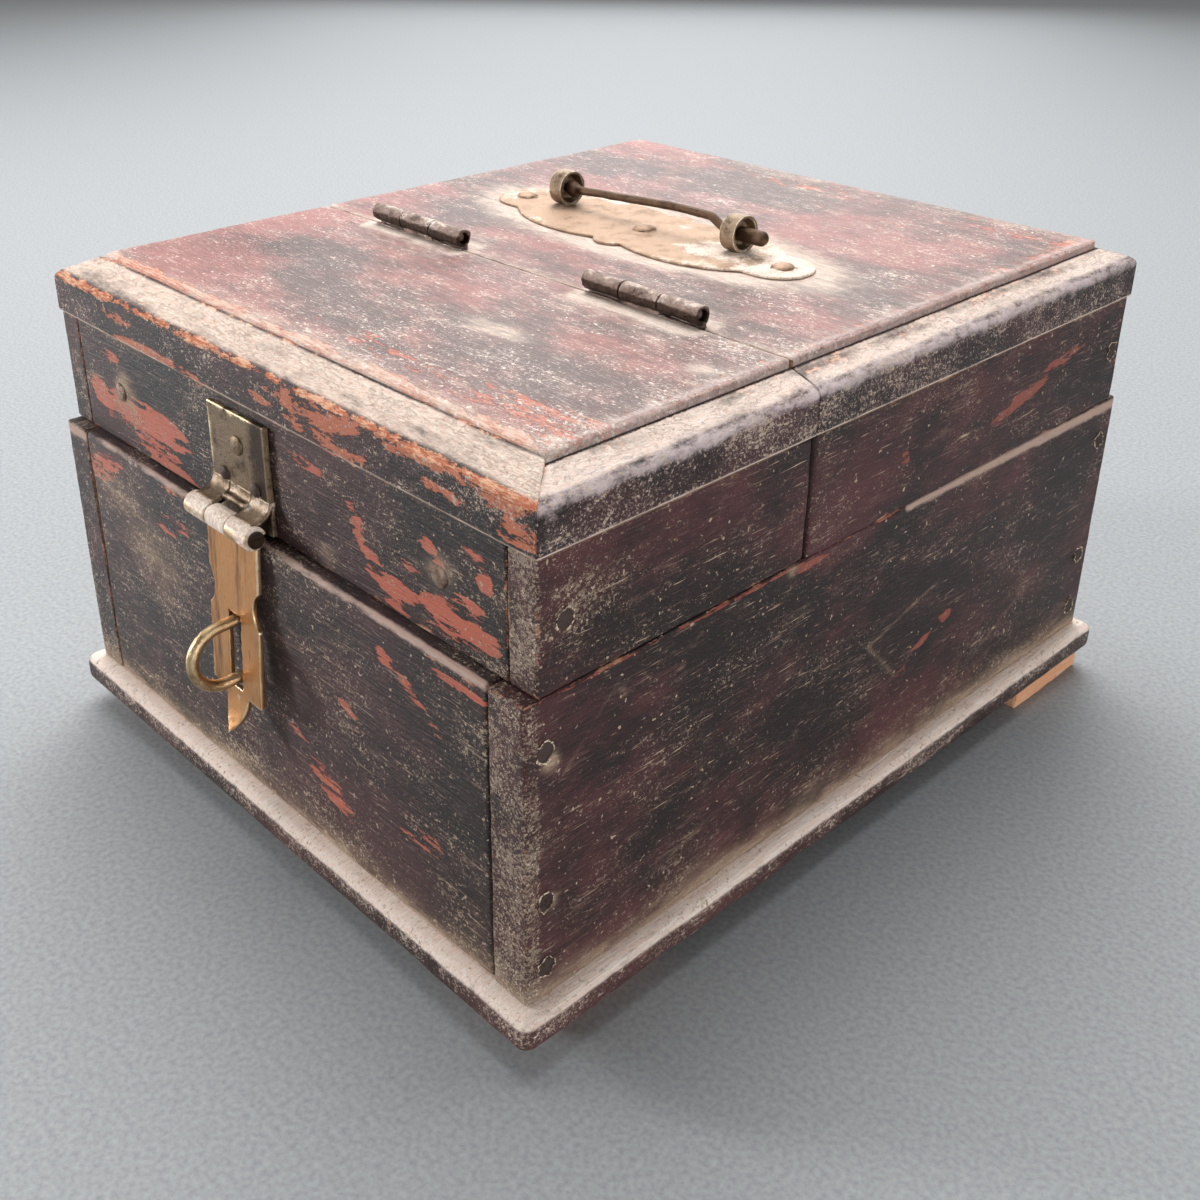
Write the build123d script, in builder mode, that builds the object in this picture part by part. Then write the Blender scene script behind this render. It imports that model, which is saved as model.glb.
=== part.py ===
"""Small wooden apothecary box with a half lid, in millimetres.

The lower tier is a plain nailed box on a base board and four block feet. The upper tier is sawn across:
the front part is the lid, the rear part is fixed and carries the handle. +Z is up, -Y is the front, and
the origin is under the middle of the whole box, staple included, on the surface it stands on.
"""
import math
import os

from build123d import *

os.makedirs("parts", exist_ok=True)

# ---------------------------------------------------------------- driving dimensions
box_width = 190.0            # over the side boards, in both tiers
body_depth = 230.0           # lower tier, front face to back face
body_height = 76.5           # lower tier, base board to parting line
wall = 11.0                  # lower tier's boards

foot_height = 7.0
foot_length = 36.0           # along the box's depth
foot_width = 22.0
front_foot_inset = 12.0      # from the base board's edge, so the front feet stand in shadow
rear_foot_inset = 2.5
foot_rounding = 1.5

base_thickness = 9.0
base_overhang = 4.5          # how far the base board stands proud of the walls
base_corner = 4.0            # rounding of its corners, seen from above
base_top_round = 3.6         # rounding of its upper edge
base_bottom_round = 2.4

upper_setback = 3.5          # the upper tier's front and back stand in from the body's
apron_height = 31.0
apron_thickness = 8.5        # the upper tier's side and back strips
front_apron_thickness = 12.0 # thicker, because it carries the hasp
apron_rounding = 1.2
ledge_rounding = 1.4         # worn top edge of the body's front
parting_gap = 0.4            # between the closed lid and the body

fascia_height = 11.0         # upright face of the top mouldings
top_overhang = 0.5           # mouldings stand proud of the aprons
moulding_width = 6.8
moulding_rise = 2.9          # slope from the outer arris up to the panel
moulding_rounding = 1.6
panel_step = 1.9             # the panel stands above the mouldings
panel_rounding = 0.7

lid_depth = 82.0             # lid, from its apron's front to the middle of the saw cut
saw_gap = 0.6

divider_thickness = 6.0      # long divider, under the saw cut
divider_height = 54.0
cross_divider_thickness = 5.0
cross_divider_height = 48.0
cross_divider_offset = 29.0  # from the middle, to each side
housing_depth = 2.0          # grooves that hold the dividers
housing_clearance = 0.1

hinge_length = 38.0
hinge_offset = 42.5          # from the middle to each hinge's centre
hinge_axis_height = 3.0      # above the panel
hinge_knuckle_radius = 2.5
hinge_pin_radius = 1.1
hinge_leaf_thickness = 1.0
hinge_leaf_height = 13.0     # below the panel's surface
hinge_nail_radius = 0.8
hinge_nail_length = 9.0
hinge_nail_head_radius = 1.5
hinge_nail_head_height = 0.5
hinge_nail_spacing = 13.0

running_clearance = 0.05     # round every pin and journal
knuckle_gap = 0.3            # between neighbouring knuckles, along their pin
nail_clearance = 0.05        # round every nail's shank and head

hasp_offset = -6.3           # hasp's centre line, from the middle
hasp_plate_width = 24.5
hasp_plate_height = 25.5     # above the barrel's axis
hasp_plate_thickness = 1.6
hasp_crank_height = 4.6      # where the plate leaves the apron for the barrel, above the axis
hasp_barrel_radius = 3.0
hasp_barrel_length = 27.0
hasp_axis_height = 3.3       # above the parting line
hasp_pin_radius = 1.3
hasp_pin_head_radius = 2.2
hasp_pin_head_height = 0.8
strap_clearance = 0.3        # between the strap's back and the body, at the barrel
strap_thickness = 1.5
strap_width = 22.0
strap_length = 47.6          # from the barrel's axis to the shoulders
strap_lean = 4.0             # degrees that the strap hangs away from the front
strap_notch_radius = 6.5
strap_notch_depth = 2.4
strap_notch_distance = 21.0  # from the barrel's axis
tongue_width = 10.0
tongue_length = 10.5
tongue_bend = 3.2            # how far its tip curls outwards
tongue_side_radius = 17.0    # its sides curve in to the point
slot_width = 5.3
slot_clearance = 0.5         # past the staple's wire, at each end of the slot

staple_wire = 3.2
staple_spacing = 16.0        # between the legs' centre lines
staple_drop = 32.0           # from the parting line down to its middle
staple_straight = 8.0        # legs' length in front of the body
staple_shank = 8.0           # legs' length in the front board

handle_setback = 51.0        # from the saw cut to the rod's axis
handle_plate_center = -3.0
handle_plate_shift = 3.0     # its centre line lies this much nearer the saw cut than the rod
handle_plate_length = 114.0
handle_plate_thickness = 0.8
handle_tab_width = 19.0      # rounded tabs at the plate's ends
handle_lobe_offset = 19.0    # from the plate's middle to the middle of each broad lobe
handle_lobe_length = 56.0
handle_lobe_width = 35.0
handle_bud_radius = 6.0      # small round buds where the two lobes meet
handle_bud_offset = 12.0     # from the plate's centre line
handle_nail_pitch = 49.0     # from the middle nail to each end nail
handle_nail_radius = 3.0     # dome heads
handle_nail_height = 1.3
post_center = -4.9
post_spacing = 66.0
post_radius = 5.1
post_thickness = 5.0
post_axis_height = 4.8       # above the plate
post_cup_radius = 4.2
post_cup_floor_radius = 3.2
post_cup_depth = 2.2
post_peg_radius = 1.8
post_peg_length = 9.0        # into the panel
rod_radius = 1.25
rod_bow = 2.6                # how far the rod rises between its posts
rod_bow_radius = 60.0        # gentle bends of the rod
rod_lead = 5.0               # straight length from a post's middle
rod_crank_start = 22.0       # from the right post's middle back to where the rise ends
rod_crank_end = 9.5          # and to where the rod drops to its eye
rod_crank_radius = 3.0
rod_head_radius = 2.0
rod_head_height = 1.2
stub_radius = 2.1
stub_length = 9.0
stub_rounding = 1.7
bead_radius = 2.3

corner_nail_radius = 1.1
corner_nail_length = 26.0
corner_nail_head_radius = 2.4
corner_nail_head_height = 0.9
corner_nail_low = 8.0        # heights above the base board
corner_nail_middle = 26.0
corner_nail_high = 64.0
lid_side_nail_setback = 7.2  # from the lid's front
lid_nail_spread = 66.0       # from the middle to each nail on the lid's front
lid_nail_length = 11.0
lid_nail_head_radius = 2.6
lid_nail_head_height = 0.8
base_nail_edge = 22.0        # from the body's front and back to the outer base nails
plate_nail_radius = 1.0
plate_nail_length = 9.0
plate_nail_head_height = 0.9
plate_nail_upper_head = 2.5
plate_nail_lower_head = 1.8
plate_nail_upper_rise = 17.5 # above the hasp's axis
plate_nail_lower_rise = 8.4
plate_nail_spread = 6.6      # from the hasp's centre line

# ---------------------------------------------------------------- derived places
half_width = box_width / 2
staple_reach = staple_straight + staple_spacing / 2 + staple_wire / 2
front_y = -(body_depth + base_overhang - staple_reach) / 2
back_y = front_y + body_depth

base_z = foot_height
body_z = base_z + base_thickness
parting_z = body_z + body_height
apron_top_z = parting_z + apron_height
fascia_top_z = apron_top_z + fascia_height
moulding_top_z = fascia_top_z + moulding_rise
panel_top_z = moulding_top_z + panel_step

apron_front_y = front_y + upper_setback
apron_back_y = back_y - upper_setback
saw_y = apron_front_y + lid_depth
lid_back_y = saw_y - saw_gap / 2
rear_front_y = saw_y + saw_gap / 2
lid_bottom_z = parting_z + parting_gap

top_half_width = half_width + top_overhang
top_front_y = apron_front_y - top_overhang
top_back_y = apron_back_y + top_overhang
panel_half_width = top_half_width - moulding_width
panel_front_y = top_front_y + moulding_width
panel_back_y = top_back_y - moulding_width

hinge_axis_z = panel_top_z + hinge_axis_height
hasp_axis_z = parting_z + hasp_axis_height
hasp_axis_y = front_y - strap_clearance - hasp_barrel_radius
staple_z = parting_z - staple_drop
handle_y = saw_y + handle_setback
handle_plate_y = handle_y - handle_plate_shift
handle_plate_top_z = panel_top_z + handle_plate_thickness
rod_axis_z = handle_plate_top_z + post_axis_height

LOW = (Align.MIN, Align.MIN, Align.MIN)
INTO = (Align.CENTER, Align.CENTER, Align.MAX)   # grows against the local Z, into the surface
OUT = (Align.CENTER, Align.CENTER, Align.MIN)    # grows along the local Z, off the surface


def block(x_span, y_span, z_span, mode=Mode.ADD):
    """A box in the open part, between its low and its high corner."""
    sizes = [span[1] - span[0] for span in (x_span, y_span, z_span)]
    with Locations((x_span[0], y_span[0], z_span[0])):
        Box(*sizes, align=LOW, mode=mode)


def mirrored(spans_low, spans_high):
    """The x span on the right, and its mirror image on the left."""
    return {"right": (spans_low, spans_high), "left": (-spans_high, -spans_low)}


def save(builder, label):
    """Label a finished piece and write its STEP file."""
    builder.part.label = label
    export_step(builder.part, f"parts/{label}.step")


def facing(direction, *points):
    """One plane for each point, all with their Z along the direction."""
    return [Plane(origin=point, z_dir=direction) for point in points]


def drill(planes, shank_radius, length, head_radius=0.0, head_height=0.0):
    """Nail holes in the open part, with room for a sunk head."""
    with Locations(*planes):
        Cylinder(shank_radius + nail_clearance, length + nail_clearance, align=INTO, mode=Mode.SUBTRACT)
        if head_height:
            depth = head_height + nail_clearance
            Cylinder(head_radius + nail_clearance, depth, align=INTO, mode=Mode.SUBTRACT)


def flush_nails(planes, shank_radius, length, head_radius, head_height):
    """Nails whose flat heads lie level with the surface."""
    with Locations(*planes):
        Cylinder(shank_radius, length, align=INTO)
        Cylinder(head_radius, head_height, align=INTO)


def domed_nails(planes, shank_radius, length, head_radius, head_height):
    """Nails whose low domes stand on the surface."""
    dome_radius = (head_radius**2 + head_height**2) / (2 * head_height)
    with BuildSketch(Plane.XZ) as profile:
        with BuildLine():
            RadiusArc((0, head_height), (head_radius, 0), dome_radius)
            Polyline((head_radius, 0), (shank_radius, 0), (shank_radius, -length))
            Polyline((shank_radius, -length), (0, -length), (0, head_height))
        make_face()
    with BuildPart() as nail:
        revolve(profile.sketch, axis=Axis.Z)
    with Locations(*planes):
        add(nail.part)


# ---------------------------------------------------------------- nail places
corner_heights = [body_z + h for h in (corner_nail_low, corner_nail_middle, corner_nail_high)]
body_nail_planes = [
    plane
    for side in (-1, 1)
    for y in (front_y + wall / 2, back_y - wall / 2)
    for z in corner_heights
    for plane in facing((side, 0, 0), (side * half_width, y, z))
]
apron_middle_z = (lid_bottom_z + apron_top_z) / 2
lid_side_nail_y = apron_front_y + lid_side_nail_setback
lid_side_nail_planes = [
    plane
    for side in (-1, 1)
    for plane in facing((side, 0, 0), (side * half_width, lid_side_nail_y, apron_middle_z))
]
lid_front_nail_planes = facing(
    (0, -1, 0),
    (-lid_nail_spread, apron_front_y, apron_middle_z),
    (lid_nail_spread, apron_front_y, apron_middle_z),
)
rear_nail_planes = [
    plane
    for side in (-1, 1)
    for plane in facing((side, 0, 0), (side * half_width, apron_back_y - apron_thickness / 2, apron_middle_z))
]
base_nail_planes = facing(
    (0, 0, -1),
    *[
        (side * (half_width - wall / 2), y, base_z)
        for side in (-1, 1)
        for y in (front_y + base_nail_edge, (front_y + back_y) / 2, back_y - base_nail_edge)
    ],
)

# ---------------------------------------------------------------- base board and feet
with BuildPart() as base_board:
    with BuildSketch(Plane.XY.offset(base_z)):
        with Locations((0, (front_y + back_y) / 2)):
            RectangleRounded(
                box_width + 2 * base_overhang, body_depth + 2 * base_overhang, base_corner
            )
    extrude(amount=base_thickness)
    fillet(base_board.edges().group_by(Axis.Z)[-1], base_top_round)
    fillet(base_board.edges().group_by(Axis.Z)[0], base_bottom_round)
    drill(base_nail_planes, corner_nail_radius, corner_nail_length, corner_nail_head_radius,
          corner_nail_head_height)
save(base_board, "base_board")

base_half_width = half_width + base_overhang
for place, inset, from_front in (("front", front_foot_inset, True), ("rear", rear_foot_inset, False)):
    outer_x = base_half_width - inset
    if from_front:
        foot_y = (front_y - base_overhang + inset, front_y - base_overhang + inset + foot_length)
    else:
        foot_y = (back_y + base_overhang - inset - foot_length, back_y + base_overhang - inset)
    for side, foot_x in mirrored(outer_x - foot_width, outer_x).items():
        with BuildPart() as foot:
            block(foot_x, foot_y, (0, base_z))
            fillet(foot.edges().filter_by(Axis.Z), foot_rounding)
        save(foot, f"foot_{place}_{side}")

# ---------------------------------------------------------------- lower tier
divider_y = (saw_y - divider_thickness / 2, saw_y + divider_thickness / 2)
cross_spans = mirrored(
    cross_divider_offset - cross_divider_thickness / 2,
    cross_divider_offset + cross_divider_thickness / 2,
)


def widened(span):
    """A housing's width: the board's span and its clearance on each side."""
    return (span[0] - housing_clearance, span[1] + housing_clearance)


inner_half = half_width - wall
for side, x_span in mirrored(inner_half, half_width).items():
    housing_x = mirrored(inner_half, inner_half + housing_depth)[side]
    with BuildPart() as body_side:
        block(x_span, (front_y, back_y), (body_z, parting_z))
        outer_edges = body_side.edges().filter_by(Axis.Z).group_by(Axis.X)
        fillet(outer_edges[-1 if side == "right" else 0], apron_rounding)
        block(housing_x, widened(divider_y), (body_z, body_z + divider_height + housing_clearance),
              mode=Mode.SUBTRACT)
        drill(body_nail_planes, corner_nail_radius, corner_nail_length, corner_nail_head_radius,
              corner_nail_head_height)
        drill(base_nail_planes, corner_nail_radius, corner_nail_length)
    save(body_side, f"body_side_{side}")

staple_planes = facing(
    (0, -1, 0),
    (hasp_offset, front_y, staple_z - staple_spacing / 2),
    (hasp_offset, front_y, staple_z + staple_spacing / 2),
)
with BuildPart() as body_front:
    block((-inner_half, inner_half), (front_y, front_y + wall), (body_z, parting_z))
    front_top = body_front.edges().filter_by(Axis.X).group_by(Axis.Y)[0].sort_by(Axis.Z)[-1]
    fillet(front_top, ledge_rounding)
    for span in cross_spans.values():
        block(widened(span), (front_y + wall - housing_depth, front_y + wall),
              (body_z, body_z + cross_divider_height + housing_clearance), mode=Mode.SUBTRACT)
    drill(body_nail_planes, corner_nail_radius, corner_nail_length)
    drill(staple_planes, staple_wire / 2, staple_shank)
save(body_front, "body_front_board")

with BuildPart() as body_back:
    block((-inner_half, inner_half), (back_y - wall, back_y), (body_z, parting_z))
    drill(body_nail_planes, corner_nail_radius, corner_nail_length)
save(body_back, "body_back_board")

with BuildPart() as long_divider:
    reach = inner_half + housing_depth - housing_clearance
    block((-reach, reach), divider_y, (body_z, body_z + divider_height))
    for span in cross_spans.values():
        block(widened(span), (divider_y[0], divider_y[0] + housing_depth),
              (body_z, body_z + cross_divider_height + housing_clearance), mode=Mode.SUBTRACT)
save(long_divider, "long_divider")

cross_divider_y = (
    front_y + wall - housing_depth + housing_clearance,
    divider_y[0] + housing_depth - housing_clearance,
)
for side, span in cross_spans.items():
    with BuildPart() as cross_divider:
        block(span, cross_divider_y, (body_z, body_z + cross_divider_height))
    save(cross_divider, f"cross_divider_{side}")

with BuildPart() as body_nails:
    flush_nails(body_nail_planes, corner_nail_radius, corner_nail_length, corner_nail_head_radius,
                corner_nail_head_height)
save(body_nails, "body_nails")

with BuildPart() as base_nails:
    flush_nails(base_nail_planes, corner_nail_radius, corner_nail_length, corner_nail_head_radius,
                corner_nail_head_height)
save(base_nails, "base_nails")

# ---------------------------------------------------------------- upper tier, fixed part
apron_inner_half = half_width - apron_thickness
for side, x_span in mirrored(apron_inner_half, half_width).items():
    with BuildPart() as rear_side:
        block(x_span, (rear_front_y, apron_back_y), (parting_z, apron_top_z))
        drill(rear_nail_planes, corner_nail_radius, corner_nail_length, corner_nail_head_radius,
              corner_nail_head_height)
    save(rear_side, f"rear_side_{side}")

with BuildPart() as rear_back:
    block((-apron_inner_half, apron_inner_half), (apron_back_y - apron_thickness, apron_back_y),
          (parting_z, apron_top_z))
    drill(rear_nail_planes, corner_nail_radius, corner_nail_length)
save(rear_back, "rear_back_board")

with BuildPart() as rear_nails:
    flush_nails(rear_nail_planes, corner_nail_radius, corner_nail_length, corner_nail_head_radius,
                corner_nail_head_height)
save(rear_nails, "rear_nails")

# ---------------------------------------------------------------- upper tier, lid
for side, x_span in mirrored(apron_inner_half, half_width).items():
    with BuildPart() as lid_side:
        block(x_span, (apron_front_y, lid_back_y), (lid_bottom_z, apron_top_z))
        front_edges = lid_side.edges().filter_by(Axis.Z).group_by(Axis.Y)[0]
        fillet(front_edges.sort_by(Axis.X)[-1 if side == "right" else 0], apron_rounding)
        drill(lid_side_nail_planes, corner_nail_radius, corner_nail_length, corner_nail_head_radius,
              corner_nail_head_height)
    save(lid_side, f"lid_side_{side}")

hasp_plate_top_z = hasp_axis_z + hasp_plate_height
plate_face_y = apron_front_y - hasp_plate_thickness
upper_plate_nails = facing((0, -1, 0), (hasp_offset, plate_face_y, hasp_axis_z + plate_nail_upper_rise))
lower_plate_nails = facing((0, -1, 0), *[
    (hasp_offset + side * plate_nail_spread, plate_face_y, hasp_axis_z + plate_nail_lower_rise)
    for side in (-1, 1)
])
plate_nail_planes = upper_plate_nails + lower_plate_nails

with BuildPart() as lid_front:
    block((-apron_inner_half, apron_inner_half),
          (apron_front_y, apron_front_y + front_apron_thickness), (lid_bottom_z, apron_top_z))
    lower_front = lid_front.edges().filter_by(Axis.X).group_by(Axis.Y)[0].sort_by(Axis.Z)[0]
    fillet(lower_front, apron_rounding)
    drill(lid_side_nail_planes, corner_nail_radius, corner_nail_length)
    drill(lid_front_nail_planes, corner_nail_radius, lid_nail_length)
    drill(plate_nail_planes, plate_nail_radius, plate_nail_length)
save(lid_front, "lid_front_apron")

with BuildPart() as lid_nails:
    flush_nails(lid_side_nail_planes, corner_nail_radius, corner_nail_length, corner_nail_head_radius,
                corner_nail_head_height)
    domed_nails(lid_front_nail_planes, corner_nail_radius, lid_nail_length, lid_nail_head_radius,
                lid_nail_head_height)
save(lid_nails, "lid_nails")

# ---------------------------------------------------------------- raised panel, cut at the saw line
hinge_centers = {"left": -hinge_offset, "right": hinge_offset}
leaf_top_z = hinge_axis_z - hinge_knuckle_radius - knuckle_gap
leaf_bottom_z = panel_top_z - hinge_leaf_height
hinge_nail_z = (panel_top_z + leaf_bottom_z) / 2
leaf_nail_x = [
    center + step * hinge_nail_spacing for center in hinge_centers.values() for step in (-1, 0, 1)
]
lid_leaf_nail_planes = facing((0, 1, 0), *[(x, lid_back_y, hinge_nail_z) for x in leaf_nail_x])
rear_leaf_nail_planes = facing((0, -1, 0), *[(x, rear_front_y, hinge_nail_z) for x in leaf_nail_x])

top_center_y = (top_front_y + top_back_y) / 2
with BuildPart() as whole_panel:
    block((-panel_half_width, panel_half_width), (panel_front_y, panel_back_y), (apron_top_z, panel_top_z))
    fillet(whole_panel.edges().group_by(Axis.Z)[-1], panel_rounding)

post_x = {"left": post_center - post_spacing / 2, "right": post_center + post_spacing / 2}
post_peg_planes = facing((0, 0, 1), *[(x, handle_y, handle_plate_top_z) for x in post_x.values()])
handle_nail_planes = facing((0, 0, 1), *[
    (handle_plate_center + step * handle_nail_pitch, handle_plate_y, handle_plate_top_z)
    for step in (-1, 0, 1)
])


def leaf_recesses(leaf_y):
    """Shallow beds for both hinges' leaves, cut from the open part."""
    for center in hinge_centers.values():
        block((center - hinge_length / 2, center + hinge_length / 2), leaf_y,
              (leaf_bottom_z, panel_top_z), mode=Mode.SUBTRACT)


with BuildPart() as lid_panel:
    add(whole_panel.part)
    block((-half_width, half_width), (front_y, lid_back_y), (apron_top_z, panel_top_z), mode=Mode.INTERSECT)
    leaf_recesses((lid_back_y - hinge_leaf_thickness, lid_back_y))
    drill(lid_leaf_nail_planes, hinge_nail_radius, hinge_nail_length)
save(lid_panel, "lid_panel")

with BuildPart() as rear_panel:
    add(whole_panel.part)
    block((-half_width, half_width), (rear_front_y, back_y), (apron_top_z, panel_top_z), mode=Mode.INTERSECT)
    leaf_recesses((rear_front_y, rear_front_y + hinge_leaf_thickness))
    drill(rear_leaf_nail_planes, hinge_nail_radius, hinge_nail_length)
    drill(post_peg_planes, post_peg_radius, post_peg_length)
    drill(handle_nail_planes, plate_nail_radius, plate_nail_length)
save(rear_panel, "rear_panel")

# ---------------------------------------------------------------- mouldings round the panel
with BuildPart() as moulding_ring:
    with BuildSketch(Plane.XY.offset(apron_top_z)):
        with Locations((0, top_center_y)):
            Rectangle(2 * top_half_width, top_back_y - top_front_y)
    extrude(amount=fascia_height)
    with BuildSketch(Plane.XY.offset(fascia_top_z)):
        with Locations((0, top_center_y)):
            Rectangle(2 * top_half_width, top_back_y - top_front_y)
    with BuildSketch(Plane.XY.offset(moulding_top_z)):
        with Locations((0, top_center_y)):
            Rectangle(2 * panel_half_width, panel_back_y - panel_front_y)
    loft()
    arris = moulding_ring.edges().filter_by_position(Axis.Z, fascia_top_z, fascia_top_z)
    fillet(arris, moulding_rounding)
    block((-panel_half_width, panel_half_width), (panel_front_y, panel_back_y),
          (apron_top_z, panel_top_z), mode=Mode.SUBTRACT)

left_x, right_x = -top_half_width, top_half_width
inner_left_x, inner_right_x = -panel_half_width, panel_half_width
strip_outlines = {
    "lid_moulding_front": [(left_x, top_front_y), (right_x, top_front_y),
                           (inner_right_x, panel_front_y), (inner_left_x, panel_front_y)],
    "rear_moulding_back": [(left_x, top_back_y), (inner_left_x, panel_back_y),
                           (inner_right_x, panel_back_y), (right_x, top_back_y)],
}
for side, outer_x, inner_x in (("left", left_x, inner_left_x), ("right", right_x, inner_right_x)):
    strip_outlines[f"lid_moulding_{side}"] = [
        (outer_x, top_front_y), (inner_x, panel_front_y), (inner_x, lid_back_y), (outer_x, lid_back_y)
    ]
    strip_outlines[f"rear_moulding_{side}"] = [
        (outer_x, rear_front_y), (inner_x, rear_front_y), (inner_x, panel_back_y), (outer_x, top_back_y)
    ]
for label, corners in strip_outlines.items():
    with BuildPart() as strip:
        add(moulding_ring.part)
        with BuildSketch(Plane.XY.offset(apron_top_z)):
            with BuildLine():
                Polyline(*corners, close=True)
            make_face()
        extrude(amount=panel_top_z - apron_top_z, mode=Mode.INTERSECT)
    save(strip, label)


# ---------------------------------------------------------------- butt hinges
def knuckle_spans(start, pitch, indices):
    """The x spans of some of a barrel's three knuckles, shortened by half a gap where two meet."""
    spans = []
    for index in indices:
        low = start + index * pitch + (knuckle_gap / 2 if index > 0 else 0)
        high = start + (index + 1) * pitch - (knuckle_gap / 2 if index < 2 else 0)
        spans.append((low, high))
    return spans


def rod_along_x(x_span, y, z, radius, mode=Mode.ADD):
    """A round bar in the open part, along X."""
    with BuildSketch(Plane.YZ.offset(x_span[0])) as section:
        with Locations((y, z)):
            Circle(radius)
    extrude(section.sketch, amount=x_span[1] - x_span[0], mode=mode)


for side, center in hinge_centers.items():
    start_x = center - hinge_length / 2
    end_x = start_x + hinge_length
    for body, indices, leaf_y, nail_planes in (
        ("lid", (1,), (lid_back_y - hinge_leaf_thickness, lid_back_y), lid_leaf_nail_planes),
        ("rear", (0, 2), (rear_front_y, rear_front_y + hinge_leaf_thickness), rear_leaf_nail_planes),
    ):
        with BuildPart() as leaf:
            block((start_x, end_x), leaf_y, (leaf_bottom_z, leaf_top_z))
            for span in knuckle_spans(start_x, hinge_length / 3, indices):
                block(span, leaf_y, (leaf_bottom_z, hinge_axis_z))
                rod_along_x(span, saw_y, hinge_axis_z, hinge_knuckle_radius)
            rod_along_x((start_x, end_x), saw_y, hinge_axis_z, hinge_pin_radius + running_clearance,
                        mode=Mode.SUBTRACT)
            drill(nail_planes, hinge_nail_radius, hinge_nail_length, hinge_nail_head_radius,
                  hinge_nail_head_height)
        save(leaf, f"hinge_{side}_{body}_leaf")
    with BuildPart() as pin:
        rod_along_x((start_x, end_x), saw_y, hinge_axis_z, hinge_pin_radius)
    save(pin, f"hinge_{side}_pin")

for body, planes in (("lid", lid_leaf_nail_planes), ("rear", rear_leaf_nail_planes)):
    with BuildPart() as leaf_nails:
        flush_nails(planes, hinge_nail_radius, hinge_nail_length, hinge_nail_head_radius,
                    hinge_nail_head_height)
    save(leaf_nails, f"hinge_{body}_nails")

# ---------------------------------------------------------------- hasp plate and pin
hasp_low_x = hasp_offset - hasp_barrel_length / 2
hasp_high_x = hasp_low_x + hasp_barrel_length
hasp_pitch = hasp_barrel_length / 3
strap_knuckle = knuckle_spans(hasp_low_x, hasp_pitch, (1,))[0]
with BuildPart() as hasp_plate:
    with BuildSketch(Plane.YZ.offset(hasp_offset - hasp_plate_width / 2)):
        with BuildLine():
            Polyline(
                (apron_front_y, hasp_plate_top_z),
                (plate_face_y, hasp_plate_top_z),
                (plate_face_y, hasp_axis_z + hasp_crank_height),
                (hasp_axis_y, hasp_axis_z + hasp_barrel_radius),
                (hasp_axis_y, hasp_axis_z + hasp_barrel_radius - hasp_plate_thickness),
                (apron_front_y, hasp_axis_z + hasp_crank_height - hasp_plate_thickness),
                close=True,
            )
        make_face()
    extrude(amount=hasp_plate_width)
    for span in knuckle_spans(hasp_low_x, hasp_pitch, (0, 2)):
        rod_along_x(span, hasp_axis_y, hasp_axis_z, hasp_barrel_radius)
    room = (strap_knuckle[0] - knuckle_gap, strap_knuckle[1] + knuckle_gap)
    rod_along_x(room, hasp_axis_y, hasp_axis_z, hasp_barrel_radius + knuckle_gap, mode=Mode.SUBTRACT)
    rod_along_x((hasp_low_x, hasp_high_x), hasp_axis_y, hasp_axis_z, hasp_pin_radius + running_clearance,
                mode=Mode.SUBTRACT)
    drill(plate_nail_planes, plate_nail_radius, plate_nail_length)
save(hasp_plate, "hasp_plate")

with BuildPart() as plate_nails:
    domed_nails(upper_plate_nails, plate_nail_radius, plate_nail_length, plate_nail_upper_head,
                plate_nail_head_height)
    domed_nails(lower_plate_nails, plate_nail_radius, plate_nail_length, plate_nail_lower_head,
                plate_nail_head_height)
save(plate_nails, "hasp_plate_nails")

with BuildPart() as hasp_pin:
    rod_along_x((hasp_low_x, hasp_high_x), hasp_axis_y, hasp_axis_z, hasp_pin_radius)
    for head_x in ((hasp_low_x - hasp_pin_head_height, hasp_low_x),
                   (hasp_high_x, hasp_high_x + hasp_pin_head_height)):
        rod_along_x(head_x, hasp_axis_y, hasp_axis_z, hasp_pin_head_radius)
save(hasp_pin, "hasp_pin")

# ---------------------------------------------------------------- hasp strap
# The strap is drawn in its own leaning plane: local X runs along the barrel, local Y up the strap and
# local Z out of its front. The origin is on the barrel's axis, in the middle of the hasp.
lean = math.radians(strap_lean)
strap_plane = Plane(
    origin=(hasp_offset, hasp_axis_y, hasp_axis_z),
    x_dir=(1, 0, 0),
    z_dir=(0, -math.cos(lean), math.sin(lean)),
)
# Seen from the side: local X points out of the strap's front and local Y down the strap.
strap_side = Plane(origin=strap_plane.origin, x_dir=strap_plane.z_dir, z_dir=(1, 0, 0))
strap_back = -hasp_barrel_radius

# The slot has to pass the whole staple while the strap swings, so it is as long as the nearest and the
# furthest point of the staple's wire are apart, measured from the barrel's axis.
staple_half_height = (staple_spacing + staple_wire) / 2
bend_distance = math.hypot(hasp_axis_y - (front_y - staple_straight), hasp_axis_z - staple_z)
slot_start = hasp_axis_z - staple_z - staple_half_height - slot_clearance
slot_end = bend_distance + staple_half_height + slot_clearance

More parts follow.
